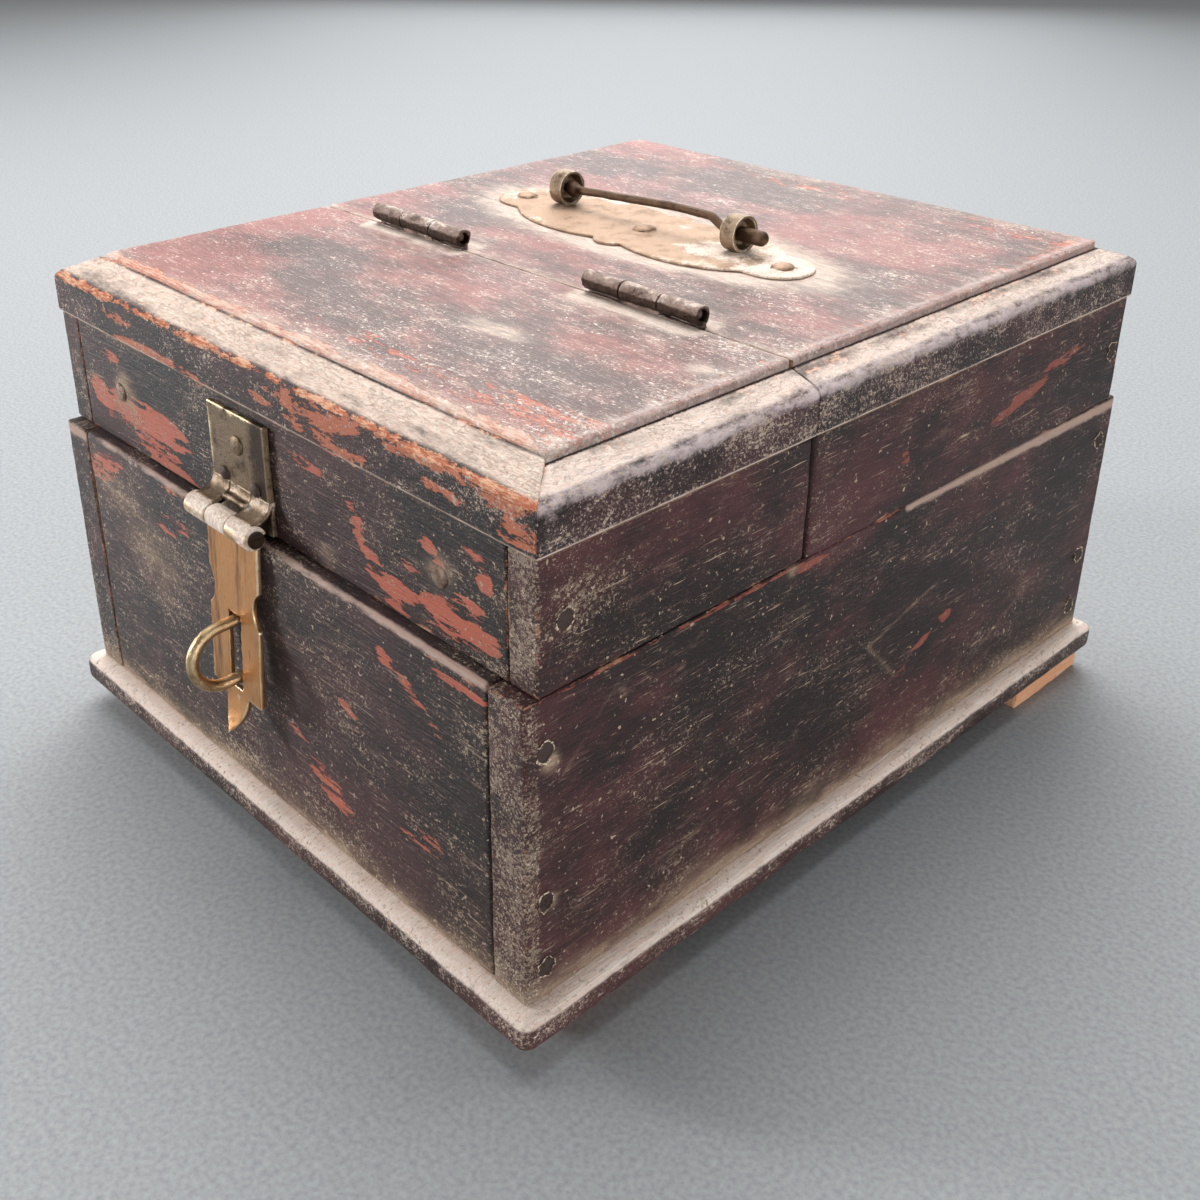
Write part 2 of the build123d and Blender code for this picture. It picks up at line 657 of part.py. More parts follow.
with BuildPart() as tongue:
    with BuildSketch(strap_side.offset(-tongue_width / 2)):
        with BuildLine():
            back_start = (strap_back, strap_length - strap_thickness)
            back_end = (strap_back + tongue_bend, strap_length + tongue_length)
            front_start = (strap_back + strap_thickness, strap_length - strap_thickness)
            front_end = (strap_back + strap_thickness + tongue_bend, strap_length + tongue_length)
            middle_y = strap_length + tongue_length / 2
            middle_bend = tongue_bend / 4
            ThreePointArc(back_start, (strap_back + middle_bend, middle_y), back_end)
            Line(back_end, front_end)
            ThreePointArc(front_end, (strap_back + strap_thickness + middle_bend, middle_y), front_start)
            Line(front_start, back_start)
        make_face()
    extrude(amount=tongue_width)
    with BuildSketch(strap_plane.offset(strap_back)):
        with BuildLine():
            root_y = -(strap_length - strap_thickness)
            tip_y = -(strap_length + tongue_length)
            Polyline((-tongue_width / 2, root_y), (tongue_width / 2, root_y))
            RadiusArc((tongue_width / 2, root_y), (0, tip_y), tongue_side_radius)
            RadiusArc((0, tip_y), (-tongue_width / 2, root_y), tongue_side_radius)
        make_face()
    extrude(amount=strap_thickness + tongue_bend, mode=Mode.INTERSECT)

with BuildPart() as hasp_strap:
    with BuildSketch(strap_plane.offset(strap_back)):
        shoulder_top = hasp_barrel_radius + knuckle_gap
        with Locations((0, -(strap_length + shoulder_top) / 2)):
            Rectangle(strap_width, strap_length - shoulder_top)
        with Locations((0, -shoulder_top / 2)):
            Rectangle(strap_knuckle[1] - strap_knuckle[0], shoulder_top)
        notch_x = strap_width / 2 + strap_notch_radius - strap_notch_depth
        with Locations((-notch_x, -strap_notch_distance), (notch_x, -strap_notch_distance)):
            Circle(strap_notch_radius, mode=Mode.SUBTRACT)
        with Locations((0, -(slot_start + slot_end) / 2)):
            Rectangle(slot_width, slot_end - slot_start, mode=Mode.SUBTRACT)
    extrude(amount=strap_thickness)
    add(tongue.part)
    rod_along_x(strap_knuckle, hasp_axis_y, hasp_axis_z, hasp_barrel_radius)
    rod_along_x(strap_knuckle, hasp_axis_y, hasp_axis_z, hasp_pin_radius + running_clearance,
                mode=Mode.SUBTRACT)
save(hasp_strap, "hasp_strap")

# ---------------------------------------------------------------- staple
with BuildPart() as staple:
    with BuildLine(Plane.YZ.offset(hasp_offset)) as staple_path:
        low_z = staple_z - staple_spacing / 2
        high_z = staple_z + staple_spacing / 2
        bend_y = front_y - staple_straight
        Line((front_y + staple_shank, low_z), (bend_y, low_z))
        ThreePointArc((bend_y, low_z), (bend_y - staple_spacing / 2, staple_z), (bend_y, high_z))
        Line((bend_y, high_z), (front_y + staple_shank, high_z))
    with BuildSketch(Plane(origin=staple_path.line @ 0, z_dir=staple_path.line % 0)):
        Circle(staple_wire / 2)
    sweep()
save(staple, "staple")

# ---------------------------------------------------------------- handle
with BuildPart() as handle_plate:
    with BuildSketch(Plane.XY.offset(panel_top_z)):
        with Locations((handle_plate_center, handle_plate_y)):
            SlotOverall(handle_plate_length, handle_tab_width)
        for side in (-1, 1):
            with Locations((handle_plate_center + side * handle_lobe_offset, handle_plate_y)):
                Ellipse(handle_lobe_length / 2, handle_lobe_width / 2)
            with Locations((handle_plate_center, handle_plate_y + side * handle_bud_offset)):
                Circle(handle_bud_radius)
    extrude(amount=handle_plate_thickness)
    drill(post_peg_planes, post_peg_radius, handle_plate_thickness)
    drill(handle_nail_planes, plate_nail_radius, handle_plate_thickness)
save(handle_plate, "handle_plate")

with BuildPart() as handle_nails:
    domed_nails(handle_nail_planes, plate_nail_radius, plate_nail_length, handle_nail_radius,
                handle_nail_height)
save(handle_nails, "handle_plate_nails")

for side, x in post_x.items():
    face_x = x + post_thickness / 2
    with BuildPart() as post:
        rod_along_x((face_x - post_thickness, face_x), handle_y, rod_axis_z, post_radius)
        block((-half_width, half_width), (front_y, back_y), (panel_top_z, handle_plate_top_z),
              mode=Mode.SUBTRACT)
        with Locations(*facing((0, 0, 1), (x, handle_y, handle_plate_top_z))):
            Cylinder(post_peg_radius, post_peg_length, align=INTO)
        with Locations(*facing((1, 0, 0), (face_x, handle_y, rod_axis_z))):
            Cone(post_cup_floor_radius, post_cup_radius, post_cup_depth, align=INTO, mode=Mode.SUBTRACT)
        rod_along_x((face_x - post_thickness, face_x), handle_y, rod_axis_z,
                    rod_radius + running_clearance, mode=Mode.SUBTRACT)
    save(post, f"handle_post_{side}")

left_floor_x = post_x["left"] + post_thickness / 2 - post_cup_depth
right_floor_x = post_x["right"] + post_thickness / 2 - post_cup_depth
stub_x = right_floor_x + knuckle_gap
with BuildPart() as rod_stub:
    rod_along_x((stub_x, stub_x + stub_length), handle_y, rod_axis_z, stub_radius)
    fillet(rod_stub.faces().sort_by(Axis.X)[-1].edges(), stub_rounding)

bead_x = left_floor_x + knuckle_gap + bead_radius
with BuildPart() as rod_bead:
    with BuildSketch(Plane.XZ.offset(-handle_y)):
        with Locations((bead_x, rod_axis_z)):
            Circle(bead_radius)
            Rectangle(2 * bead_radius, bead_radius, align=(Align.CENTER, Align.MAX), mode=Mode.SUBTRACT)
    revolve(axis=Axis((bead_x, handle_y, rod_axis_z), (1, 0, 0)))

rod_start_x = post_x["left"] - post_thickness / 2 - knuckle_gap
with BuildPart() as handle_rod:
    with BuildLine(Plane.XZ.offset(-handle_y)) as rod_path:
        FilletPolyline(
            (rod_start_x, rod_axis_z),
            (post_x["left"] + rod_lead, rod_axis_z),
            (post_x["right"] - rod_crank_start, rod_axis_z + rod_bow),
            (post_x["right"] - rod_crank_end, rod_axis_z + rod_bow),
            (post_x["right"] - rod_lead, rod_axis_z),
            (stub_x + rod_radius, rod_axis_z),
            radius=[rod_bow_radius, rod_bow_radius, rod_crank_radius, rod_crank_radius],
        )
    with BuildSketch(Plane(origin=rod_path.line @ 0, z_dir=rod_path.line % 0)):
        Circle(rod_radius)
    sweep()
    rod_along_x((rod_start_x - rod_head_height, rod_start_x), handle_y, rod_axis_z, rod_head_radius)
    add(rod_bead.part)
    add(rod_stub.part)
save(handle_rod, "handle_rod")
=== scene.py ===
# %% [markdown]
# # An old lacquered apothecary box
#
# The box is a small carpenter's job: nailed boards, black lacquer over red ground, brass and iron
# hardware. The engineer's frame already has every board, knuckle and nail at its right place and size.
# This lesson dresses that frame: worn arrises, dust in the corners, flaking lacquer, tarnished metal.
# Everything is measured in metres, so a millimetre gets its own name.

import itertools
import math

import bmesh
import bpy
import numpy as np
from mathutils import Matrix, Vector


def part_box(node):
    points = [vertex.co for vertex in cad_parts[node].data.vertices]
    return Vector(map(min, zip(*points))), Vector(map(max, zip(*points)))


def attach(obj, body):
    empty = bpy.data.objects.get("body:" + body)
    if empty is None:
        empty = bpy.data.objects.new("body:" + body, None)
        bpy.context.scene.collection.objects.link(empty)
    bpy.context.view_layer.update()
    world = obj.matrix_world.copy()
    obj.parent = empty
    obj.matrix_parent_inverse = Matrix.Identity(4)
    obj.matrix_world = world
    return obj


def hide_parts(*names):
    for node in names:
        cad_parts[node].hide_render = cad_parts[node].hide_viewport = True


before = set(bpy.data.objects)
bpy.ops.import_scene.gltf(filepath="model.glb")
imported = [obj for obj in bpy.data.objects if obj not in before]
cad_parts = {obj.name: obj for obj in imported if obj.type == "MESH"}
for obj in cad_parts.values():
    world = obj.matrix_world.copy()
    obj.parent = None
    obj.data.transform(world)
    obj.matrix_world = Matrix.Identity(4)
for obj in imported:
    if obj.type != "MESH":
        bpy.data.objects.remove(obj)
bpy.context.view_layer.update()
scene = bpy.context.scene
mm = 0.001

# %% [markdown]
# ## The picture's look
#
# The Standard view shows a colour as it is written, without a film curve. That makes it easy to choose
# a colour by eye and meet it again in the render.


# %% Colour and view
def linear(hex_colour):
    """The linear RGBA of a colour that is written as sRGB hex."""
    parts = [int(hex_colour[i : i + 2], 16) / 255 for i in (1, 3, 5)]
    return tuple(p / 12.92 if p <= 0.04045 else ((p + 0.055) / 1.055) ** 2.4 for p in parts) + (1.0,)


scene.view_settings.view_transform = "Standard"
print("lacquer black in linear light:", [round(c, 4) for c in linear("#1d1415")])

# %% [markdown]
# ## The camera
#
# The box is seen from its front right corner, from a little above, as it would stand on a table in
# front of a seated person. A moderately wide lens close by makes its near corner large. The small shift
# places the box in the frame without tilting the camera, so upright arrises stay as they are.

# %% Camera
eye = Vector((261.757, -255.572, 248.346)) * mm
azimuth, tilt, roll = math.radians(46.6434), math.radians(64.2477), math.radians(0.1915)
camera = bpy.data.objects.new("camera", bpy.data.cameras.new("camera"))
camera.data.sensor_width = 36
camera.data.lens = 42.438
camera.data.shift_x = 0.0299
camera.data.shift_y = -0.1006
camera.data.clip_start = 0.01
turn = Matrix.Rotation(azimuth, 4, "Z") @ Matrix.Rotation(tilt, 4, "X") @ Matrix.Rotation(roll, 4, "Z")
camera.matrix_world = Matrix.Translation(eye) @ turn
scene.collection.objects.link(camera)
scene.camera = camera
print("camera", [round(c / mm) for c in eye], "mm, lens", camera.data.lens)

# %% [markdown]
# ## One small function for nodes
#
# A material is a tree of nodes. Writing each node by hand takes four or five lines, so one function adds
# a node, applies its settings, and sets or links its inputs. Inputs are named, or numbered where a node
# has two sockets of the same name.


# %% The node helper
def add(tree, kind, inputs=None, **settings):
    """Adds a node; an input that is a socket gets linked, any other value is set."""
    made = tree.nodes.new(kind)
    for name, value in settings.items():
        setattr(made, name, value)
    for name, value in (inputs or {}).items():
        if isinstance(value, bpy.types.NodeSocket):
            tree.links.new(value, made.inputs[name])
        else:
            made.inputs[name].default_value = value
    return made


def fresh_material(name):
    """An empty material with its tree and its Principled shader."""
    material = bpy.data.materials.new(name)
    material.use_nodes = True
    tree = material.node_tree
    return material, tree, tree.nodes["Principled BSDF"]


print("node helpers:", add.__name__, "and", fresh_material.__name__)

# %% [markdown]
# ## Floor and light
#
# A plain matt floor catches the soft shadow. One large lamp above and behind the box lights its top and
# slides a broad sheen over the old lacquer, as a window or a light tent does. The room itself gives an
# even fill, so the dark sides keep their colours.

# %% Floor, lamps and room
bpy.ops.mesh.primitive_plane_add(size=6.0, location=(0, 0, 0))
floor = bpy.context.object
floor.name = "floor"
floor_paint, tree, shader = fresh_material("matt_grey_card")
place = add(tree, "ShaderNodeTexCoord").outputs["Object"]
grit = add(tree, "ShaderNodeTexNoise", {"Vector": place, "Scale": 700.0, "Detail": 3.0})
shade = add(
    tree,
    "ShaderNodeMix",
    {0: grit.outputs[0], 6: linear("#84878a"), 7: linear("#b8babb")},
    data_type="RGBA",
)
tree.links.new(shade.outputs[2], shader.inputs["Base Color"])
shader.inputs["Roughness"].default_value = 0.75
shader.inputs["Specular IOR Level"].default_value = 0.15
floor.data.materials.append(floor_paint)


def soft_lamp(name, place, aim, size, power):
    """A square area lamp that looks at a point; size in metres, power in watts."""
    lamp = bpy.data.objects.new(name, bpy.data.lights.new(name, "AREA"))
    lamp.data.size = size
    lamp.data.energy = power
    lamp.location = place
    lamp.rotation_euler = (Vector(aim) - Vector(place)).to_track_quat("-Z", "Y").to_euler()
    scene.collection.objects.link(lamp)
    return lamp


box_middle = (0, 0, 0.07)
soft_lamp("lamp_above", (-0.35, 0.3, 1.2), box_middle, 1.1, 22.5)
soft_lamp("lamp_behind", (-0.95, 1.05, 0.62), box_middle, 1.0, 8.0)
soft_lamp("lamp_front", (-1.15, -0.8, 0.34), box_middle, 0.24, 15.5)
soft_lamp("lamp_right", (1.3, -0.35, 0.15), box_middle, 0.5, 9.5)
room = bpy.data.worlds.new("room")
room.use_nodes = True
room.node_tree.nodes["Background"].inputs["Color"].default_value = linear("#dfe1e2")
room.node_tree.nodes["Background"].inputs["Strength"].default_value = 0.31
scene.world = room

# %% [markdown]
# ## Unevenness by the number
#
# Nothing on an old box is quite flat or straight. `drift` gives smooth random heights: it rolls one
# random number for each cell of a cube lattice and blends them in between. The same seed always gives
# the same surface, so the box looks the same on each run.


# %% Smooth random heights
def drift(points, size, seed):
    """Smooth random numbers from -1 to 1 at the points, changing over about size."""
    scaled = points / size
    cell = np.floor(scaled).astype(np.int64)
    part = scaled - cell
    part = part * part * (3 - 2 * part)
    total = np.zeros(len(points))
    for corner in itertools.product((0, 1), repeat=3):
        # Large odd factors scramble a cell's place into what looks like chance.
        x, y, z = (cell + np.array(corner)).T
        number = (x * 73856093 ^ y * 19349663 ^ z * 83492791 ^ seed * 50331653) & 0x7FFFFFFF
        number = ((number ^ (number >> 13)) * 1274126177) & 0x7FFFFFFF
        number = ((number ^ (number >> 15)) * 40503) & 0x7FFFFFFF
        weight = np.prod(np.where(np.array(corner) == 1, part, 1 - part), axis=1)
        total += weight * (number / 0x3FFFFFFF - 1)
    return total


def near(points, place, size):
    """1 at a place in millimetres, falling smoothly to 0 about size millimetres away."""
    away = np.linalg.norm(points - np.array(place) * mm, axis=1) / (size * mm)
    return np.exp(-(away**2))


def ramp(values, start, end):
    """0 up to start, 1 from end on, and a smooth step between."""
    part = np.clip((values - start) / (end - start), 0, 1)
    return part * part * (3 - 2 * part)


print("drift at one point:", round(float(drift(np.array([[0.1, 0.2, 0.3]]), 0.01, 5)[0]), 3))

# %% [markdown]
# ## Boards
#
# A new board has crisp arrises; two centuries of hands and cloths round them unevenly. So a board starts
# as the skin of a block cut into small squares, fine near the arrises and coarser on the flats. Each
# point near an arris is then pulled onto a rounding whose radius wanders. Bevelling a cube would give
# the same radius everywhere, and that even line is what makes a model look new.


# %% The skin of a block
def cuts(low, high, step, margin):
    """Where to cut between two ends: close together near the ends, a step apart between."""
    margin = min(margin, (high - low) / 2.2)
    ends = margin * np.array([0, 0.05, 0.12, 0.22, 0.35, 0.5, 0.72])
    middle = np.linspace(low + margin, high - margin, max(2, round((high - low - 2 * margin) / step) + 1))
    return np.concatenate([low + ends, middle, high - ends[::-1]])


def skin(xs, ys, zs):
    """Points and outward squares of a block's surface, cut at the given places."""
    counts = (len(xs), len(ys), len(zs))
    i, j, k = np.indices(counts).reshape(3, -1)
    outer = (i % (counts[0] - 1) == 0) | (j % (counts[1] - 1) == 0) | (k % (counts[2] - 1) == 0)
    number = np.full(i.size, -1)
    number[outer] = np.arange(outer.sum())
    number = number.reshape(counts)
    points = np.stack([xs[i], ys[j], zs[k]], axis=1)[outer]
    squares = []
    for axis in range(3):
        for end in (0, -1):
            grid = np.take(number, end, axis=axis)
            square = np.stack([grid[:-1, :-1], grid[1:, :-1], grid[1:, 1:], grid[:-1, 1:]], axis=-1)
            square = square.reshape(-1, 4)
            outward = (end == -1) != (axis == 1)
            squares.append(square if outward else square[:, ::-1])
    return points, np.concatenate(squares)


def set_marks(mesh, marks):
    """One number per point for each named mark, which the materials read."""
    for mark, values in marks.items():
        mesh.attributes.new(mark, "FLOAT", "POINT").data.foreach_set("value", np.asarray(values, float))


def hand_over(made, body, nodes):
    """Says which body a piece rides on and the CAD nodes that it stands for."""
    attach(made, body)
    if nodes:
        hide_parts(*nodes)
    return made


def piece(name, points, faces, marks, material, body, nodes=()):
    """A mesh object from points and faces, with its marks and its material."""
    mesh = bpy.data.meshes.new(name)
    mesh.from_pydata([tuple(p) for p in points], [], [tuple(f) for f in faces])
    set_marks(mesh, marks)
    mesh.shade_smooth()
    mesh.materials.append(material)
    made = bpy.data.objects.new(name, mesh)
    scene.collection.objects.link(made)
    return hand_over(made, body, nodes)


print("a plain block has", len(skin(*[np.linspace(0, 1, 4)] * 3)[1]), "squares when cut in three each way")

# %% [markdown]
# ### Worn arrises
#
# `worn_block` rounds the skin. A point keeps its nearest place on a slightly smaller inner block and is
# pushed out from there by the local radius, which is how a rolling ball would round it. Chips are just
# places where that radius is suddenly larger. The marks it returns tell the materials where the arrises
# are, because worn arrises show bare wood.


# %% Rounding a block
def worn_block(low, high, step, radius, seed, chips=(), unevenness=0.45):
    """Points, faces and the arris mark of a block with worn edges. Sizes in metres."""
    low, high = np.array(low), np.array(high)
    margin = min(3.2 * radius + 1.2 * mm, float((high - low).min()) / 2.2)
    points, faces = skin(*[cuts(low[a], high[a], step, margin) for a in range(3)])
    to_end = np.minimum(points - low, high - points)
    to_arris = np.sort(to_end, axis=1)[:, 1]
    wander = 1 + unevenness * (drift(points, 11 * mm, seed) + 0.6 * drift(points, 3.1 * mm, seed + 1))
    local = np.clip(radius * wander, 0.15 * mm, None)
    for x, y, z, size, depth in chips:
        local += depth * mm * near(points, (x, y, z), size)
    local = np.minimum(local, (high - low).min() / 2.1)[:, None]
    inner = np.clip(points, low + local, high - local)
    push = points - inner
    length = np.linalg.norm(push, axis=1, keepdims=True)
    rounded = inner + push / np.maximum(length, 1e-9) * local
    dips = 0.12 * mm * (drift(points, 34 * mm, seed + 2) + 0.35 * drift(points, 9 * mm, seed + 3) - 1.35)
    centre = (low + high) / 2
    thin = int(np.argmin(high - low))
    sign = np.sign(points[:, thin] - centre[thin])
    flat = ramp(np.abs(points[:, thin] - centre[thin]), (high - low)[thin] * 0.3, (high - low)[thin] * 0.45)
    rounded[:, thin] += sign * flat * dips * 0.5
    return rounded, faces, {"arris": np.exp(-to_arris / (1.4 * mm))}


print("a 10 mm block has", len(worn_block((0, 0, 0), (0.01, 0.01, 0.01), mm, 0.5 * mm, 1)[1]), "squares")

# %% [markdown]
# ## Old lacquer
#
# The finish is layers, and wear undoes them in turn: black lacquer on top, a red ground beneath it, then
# the wood. The material does the same. Each layer has a mask, and a `layer` is one colour laid over
# another where the mask is high. The masks are marks on the mesh (arris, paint, dust) made ragged with
# noise, so a patch has the crumbling edge of real flaking. Noise scales are one over the size of a
# grain in metres: 1000 gives grains of about a millimetre.


# %% Layers of finish
def layer(tree, below, above, amount, start, full):
    """Lays one colour over another where the amount passes from start to full; returns colour and mask."""
    mask = add(
        tree,
        "ShaderNodeMapRange",
        {"Value": amount, "From Min": start, "From Max": full},
        interpolation_type="SMOOTHSTEP",
    ).outputs[0]
    mixed = add(tree, "ShaderNodeMix", {0: mask, 6: below, 7: above}, data_type="RGBA").outputs[2]
    return mixed, mask


def grains(tree, place, scale, detail=3.0, roughness=0.6, distortion=0.0):
    """Grains of one over the scale across, in metres, as a number from about -1 to 1."""
    made = add(
        tree,
        "ShaderNodeTexNoise",
        {
            "Vector": place, "Scale": scale, "Detail": detail, "Roughness": roughness,
            "Distortion": distortion,
        },
    ).outputs[0]
    return add(tree, "ShaderNodeMath", {0: made, 1: 6.0, 2: -3.0}, operation="MULTIPLY_ADD").outputs[0]


def uneven(tree, mark, wobble, amount):
    """A mark, or a number, with some of the grains added, so that its edge crumbles."""
    return add(tree, "ShaderNodeMath", {0: wobble, 1: amount, 2: mark}, operation="MULTIPLY_ADD").outputs[0]


print("layers of finish can be laid")

# %% [markdown]
# ### The lacquer
#
# Lacquer on softwood gives way along the grain. So its grains are stretched along the board: all the way
# for the finest lines, and less and less for torn edges, flakes and clouds. The material is laid from
# below to above, in the order in which time laid it: clouded black, the red ground where the black has
# flaked, wood on the arrises, scratches, a film of dust, and last the grit, in specks as large as they
# have to be to show. Between dust and grit comes a painted highlight, a pale colour along arrises and
# ledges that catch the light. A little dust lies in the seam under the moulding all the way round.

# %% Lacquered wood
seam_height = 123.6 * mm
crack = linear("#2a1c15")
aged_pine, pale_pine, pine_hairs = linear("#7d583c"), linear("#a9825b"), linear("#5f452f")


def lacquered_wood(name, stretch, colours, rough=0.46, wear=0.0, streaks=0.0):
    """Black lacquer over red ground on wood; stretch is small along the grain."""
    material, tree, shader = fresh_material(name)
    place = add(tree, "ShaderNodeTexCoord").outputs["Object"]
    arris, dust, gritty_mark, paint, inside, line, haze = (
        add(tree, "ShaderNodeAttribute", attribute_name=mark).outputs["Fac"]
        for mark in ("arris", "dust", "grit", "paint", "inside", "line", "haze")
    )
    scales = ([even + (1 - even) * part for part in stretch] for even in (0.0, 0.15, 0.35, 0.6))
    along, tearing, leaning, softened = (
        add(tree, "ShaderNodeMapping", {"Vector": place, "Scale": scale}).outputs[0] for scale in scales
    )
    clouds = grains(tree, softened, 27.0, 6.0, 0.64)
    smears = grains(tree, leaning, 120.0, 7.0, 0.7)
    grain = grains(tree, along, 2000.0, 4.0, 0.65)
    hairs = grains(tree, along, 2700.0, 1.0, 0.5, 0.5)
    flakes = grains(tree, leaning, 280.0, 8.0, 0.76)
    torn = grains(tree, tearing, 330.0, 7.0, 0.74)
    flecks = grains(tree, softened, 1050.0, 3.0, 0.75)
    grit = grains(tree, place, 1500.0, 4.0, 0.85)
    crumbs = grains(tree, place, 640.0, 1.0)

    # The coat itself: clouded, thinned along the grain, flaked to the ground, rubbed to the wood.
    tint = uneven(tree, uneven(tree, clouds, smears, 0.28), grain, 0.3)
    colour, _ = layer(tree, colours["black"], colours["maroon"], tint, -0.6, 0.8)
    colour, _ = layer(tree, colour, colours["faded"], uneven(tree, grain, flakes, 0.6), 0.45 - streaks, 1.6)
    chipping = uneven(tree, uneven(tree, 1.0, smears, 0.35), grain, 0.15)
    ragged = uneven(tree, chipping, torn, 1.1)
    flaked = add(tree, "ShaderNodeMath", {0: paint, 1: ragged}, operation="MULTIPLY").outputs[0]
    colour, painted = layer(tree, colour, colours["ground"], flaked, 0.5, 0.58)
    rubbing = uneven(tree, grain, flakes, 0.5)
    worn_wood, _ = layer(tree, colours["ground"], colours["wood"], rubbing, -0.3, 0.7)
    colour, bared = layer(tree, colour, worn_wood, uneven(tree, arris, flakes, 0.6), 0.9 - wear, 1.0 - wear)
    scratched = uneven(tree, hairs, smears, 0.5)
    colour, _ = layer(tree, colour, colours["faded"], scratched, 1.0, 1.4)
    colour, _ = layer(tree, colour, colours["film"], scratched, 1.4 - streaks, 1.75)

    # Dust that has settled, with the line of it in the seam.
    height = add(tree, "ShaderNodeSeparateXYZ", {0: place}).outputs[2]
    above_seam = add(tree, "ShaderNodeMath", {0: height, 1: seam_height}, operation="SUBTRACT").outputs[0]
    from_seam = add(tree, "ShaderNodeMath", {0: above_seam}, operation="ABSOLUTE").outputs[0]
    seam = add(
        tree,
        "ShaderNodeMapRange",
        {"Value": from_seam, "From Min": 0.7 * mm, "From Max": 0.3 * mm, "To Max": 0.9},
    ).outputs[0]
    patchy = uneven(tree, uneven(tree, 0.8, smears, 0.3), flakes, 0.25)
    settled = uneven(tree, dust, seam, 1.0)
    film = add(tree, "ShaderNodeMath", {0: settled, 1: patchy}, operation="MULTIPLY").outputs[0]
    streaked = uneven(tree, grain, grit, 0.6)
    film_colour, _ = layer(tree, colours["dust"], colours["film"], streaked, -0.9, 0.9)
    colour, dusty = layer(tree, colour, film_colour, film, 0.1, 1.05)
    # Painted highlight: a pale colour laid along arrises and ledges that catch the light.
    colour, _ = layer(tree, colour, colours["haze"], uneven(tree, haze, flakes, 0.5), 0.2, 1.25)

    # Grit, specks and crumbs, from fine to coarse.
    cover = uneven(tree, uneven(tree, grit, smears, 0.3), gritty_mark, 1.0)
    colour, _ = layer(tree, colour, colours["dust"], cover, 0.55, 1.3)
    colour, gritty = layer(tree, colour, colours["grit"], cover, 1.05, 1.25)
    speckle = uneven(tree, uneven(tree, flecks, smears, 0.45), gritty_mark, 1.1)
    colour, _ = layer(tree, colour, colours["speck"], speckle, 1.04, 1.2)
    crumbs = uneven(tree, uneven(tree, crumbs, grit, 0.2), gritty_mark, 0.3)
    colour, _ = layer(tree, colour, colours["crumb"], crumbs, 1.35, 1.6)
    colour, _ = layer(tree, colour, crack, uneven(tree, line, grit, 0.3), 0.35, 0.7)

    # Inside there is only wood.
    plain, _ = layer(tree, aged_pine, pale_pine, grain, -0.8, 0.9)
    plain, _ = layer(tree, plain, pine_hairs, hairs, 0.7, 1.2)
    colour, bare = layer(tree, colour, plain, inside, 0.4, 0.6)
    tree.links.new(colour, shader.inputs["Base Color"])

    # Dust and bare wood are matt; what is missing from the coat lies lower.
    matt = dusty
    for mask in (gritty, bared, bare):
        matt = add(tree, "ShaderNodeMath", {0: matt, 1: mask}, operation="MAXIMUM").outputs[0]
    roughness = add(tree, "ShaderNodeMapRange", {"Value": matt, "To Min": rough, "To Max": 0.85}).outputs[0]
    tree.links.new(roughness, shader.inputs["Roughness"])
    shader.inputs["Specular IOR Level"].default_value = 0.4
    relief = 0.0
    for part, amount in (
        (painted, -1.0), (bared, -1.0), (line, -1.0), (grain, 0.4), (flakes, 0.35), (gritty, 0.5),
        (grit, 0.2),
    ):
        relief = uneven(tree, relief, part, amount)
    bump = add(tree, "ShaderNodeBump", {"Height": relief, "Distance": 0.22 * mm, "Strength": 0.9})
    tree.links.new(bump.outputs[0], shader.inputs["Normal"])
    return material


print("the dusty seam runs at", round(seam_height / mm, 1), "mm")

# %% [markdown]
# ### Its colours
#
# Each part of the box has aged in its own way, so each has a palette: the dark one, or a copy of it with
# some colours changed. Some copies also carry painted light or painted shade, as their comments say.
# Lacquer is a clear resin with soot or red earth in it, so it keeps a resin's IOR, and age has taken its
# gloss: roughness is near a half, where a new coat has a tenth of that.


# %% Palettes and wood finishes
def palette(base, **changed):
    """A copy of a set of colours, with some of them given anew as hex."""
    return dict(base, **{part: linear(tone) for part, tone in changed.items()})


dark = palette(
    {}, black="#1d1415", maroon="#47272a", faded="#6b4f46", ground="#c4674f", wood="#dba27c",
    dust="#a08670", film="#c2aa92", grit="#eedcc4", haze="#c4a697", speck="#b9a38c", crumb="#c2aa92",
)
shaded = palette(dark, black="#281d1d", maroon="#592f32", ground="#9c5244", wood="#bd8a6d", speck="#a3907f")
soft = palette(
    dark, black="#6e5c59", maroon="#aa716b", faded="#d6bdb2", ground="#c8735c", wood="#e8b394",
    dust="#d6bfb2", film="#ecdccd", grit="#f4e8da", haze="#cbb3ad", speck="#f0e0d4", crumb="#ecdccd",
)
pale = palette(
    dark, ground="#cc7550", wood="#e9b48f", dust="#ecd1c1", film="#f7e7db", grit="#e4d2c2",
    haze="#dbc9c9", speck="#cdb5a2",
)
creamy = palette(pale, ground="#c26c4a", dust="#dcbfae", film="#ecdaca")
orange_wood = palette(dark, black="#f6b489", maroon="#fec69b", faded="#ffdcbd")
along_x, along_y = (0.05, 1.0, 1.0), (1.0, 0.05, 1.0)
# Black lacquer on flat boards: dark, with a broad weak sheen. The sides get a copy whose red ground and
# bared wood are painted darker, as painted shade for faces that get less light; its black is a little
# lighter.
lacquer_x = lacquered_wood("old_lacquer_grain_x", along_x, dark)
lacquer_y = lacquered_wood("old_lacquer_grain_y", along_y, shaded)
# The same coat, bleached by daylight and wiped thin: rose and grey, streaked along the board. Its colours
# are also painted paler, as a painted sheen for the light from above and behind on the top.
panel_lacquer = lacquered_wood("faded_panel_lacquer_and_sheen", (0.14, 1.0, 1.0), soft, rough=0.45, streaks=0.06)
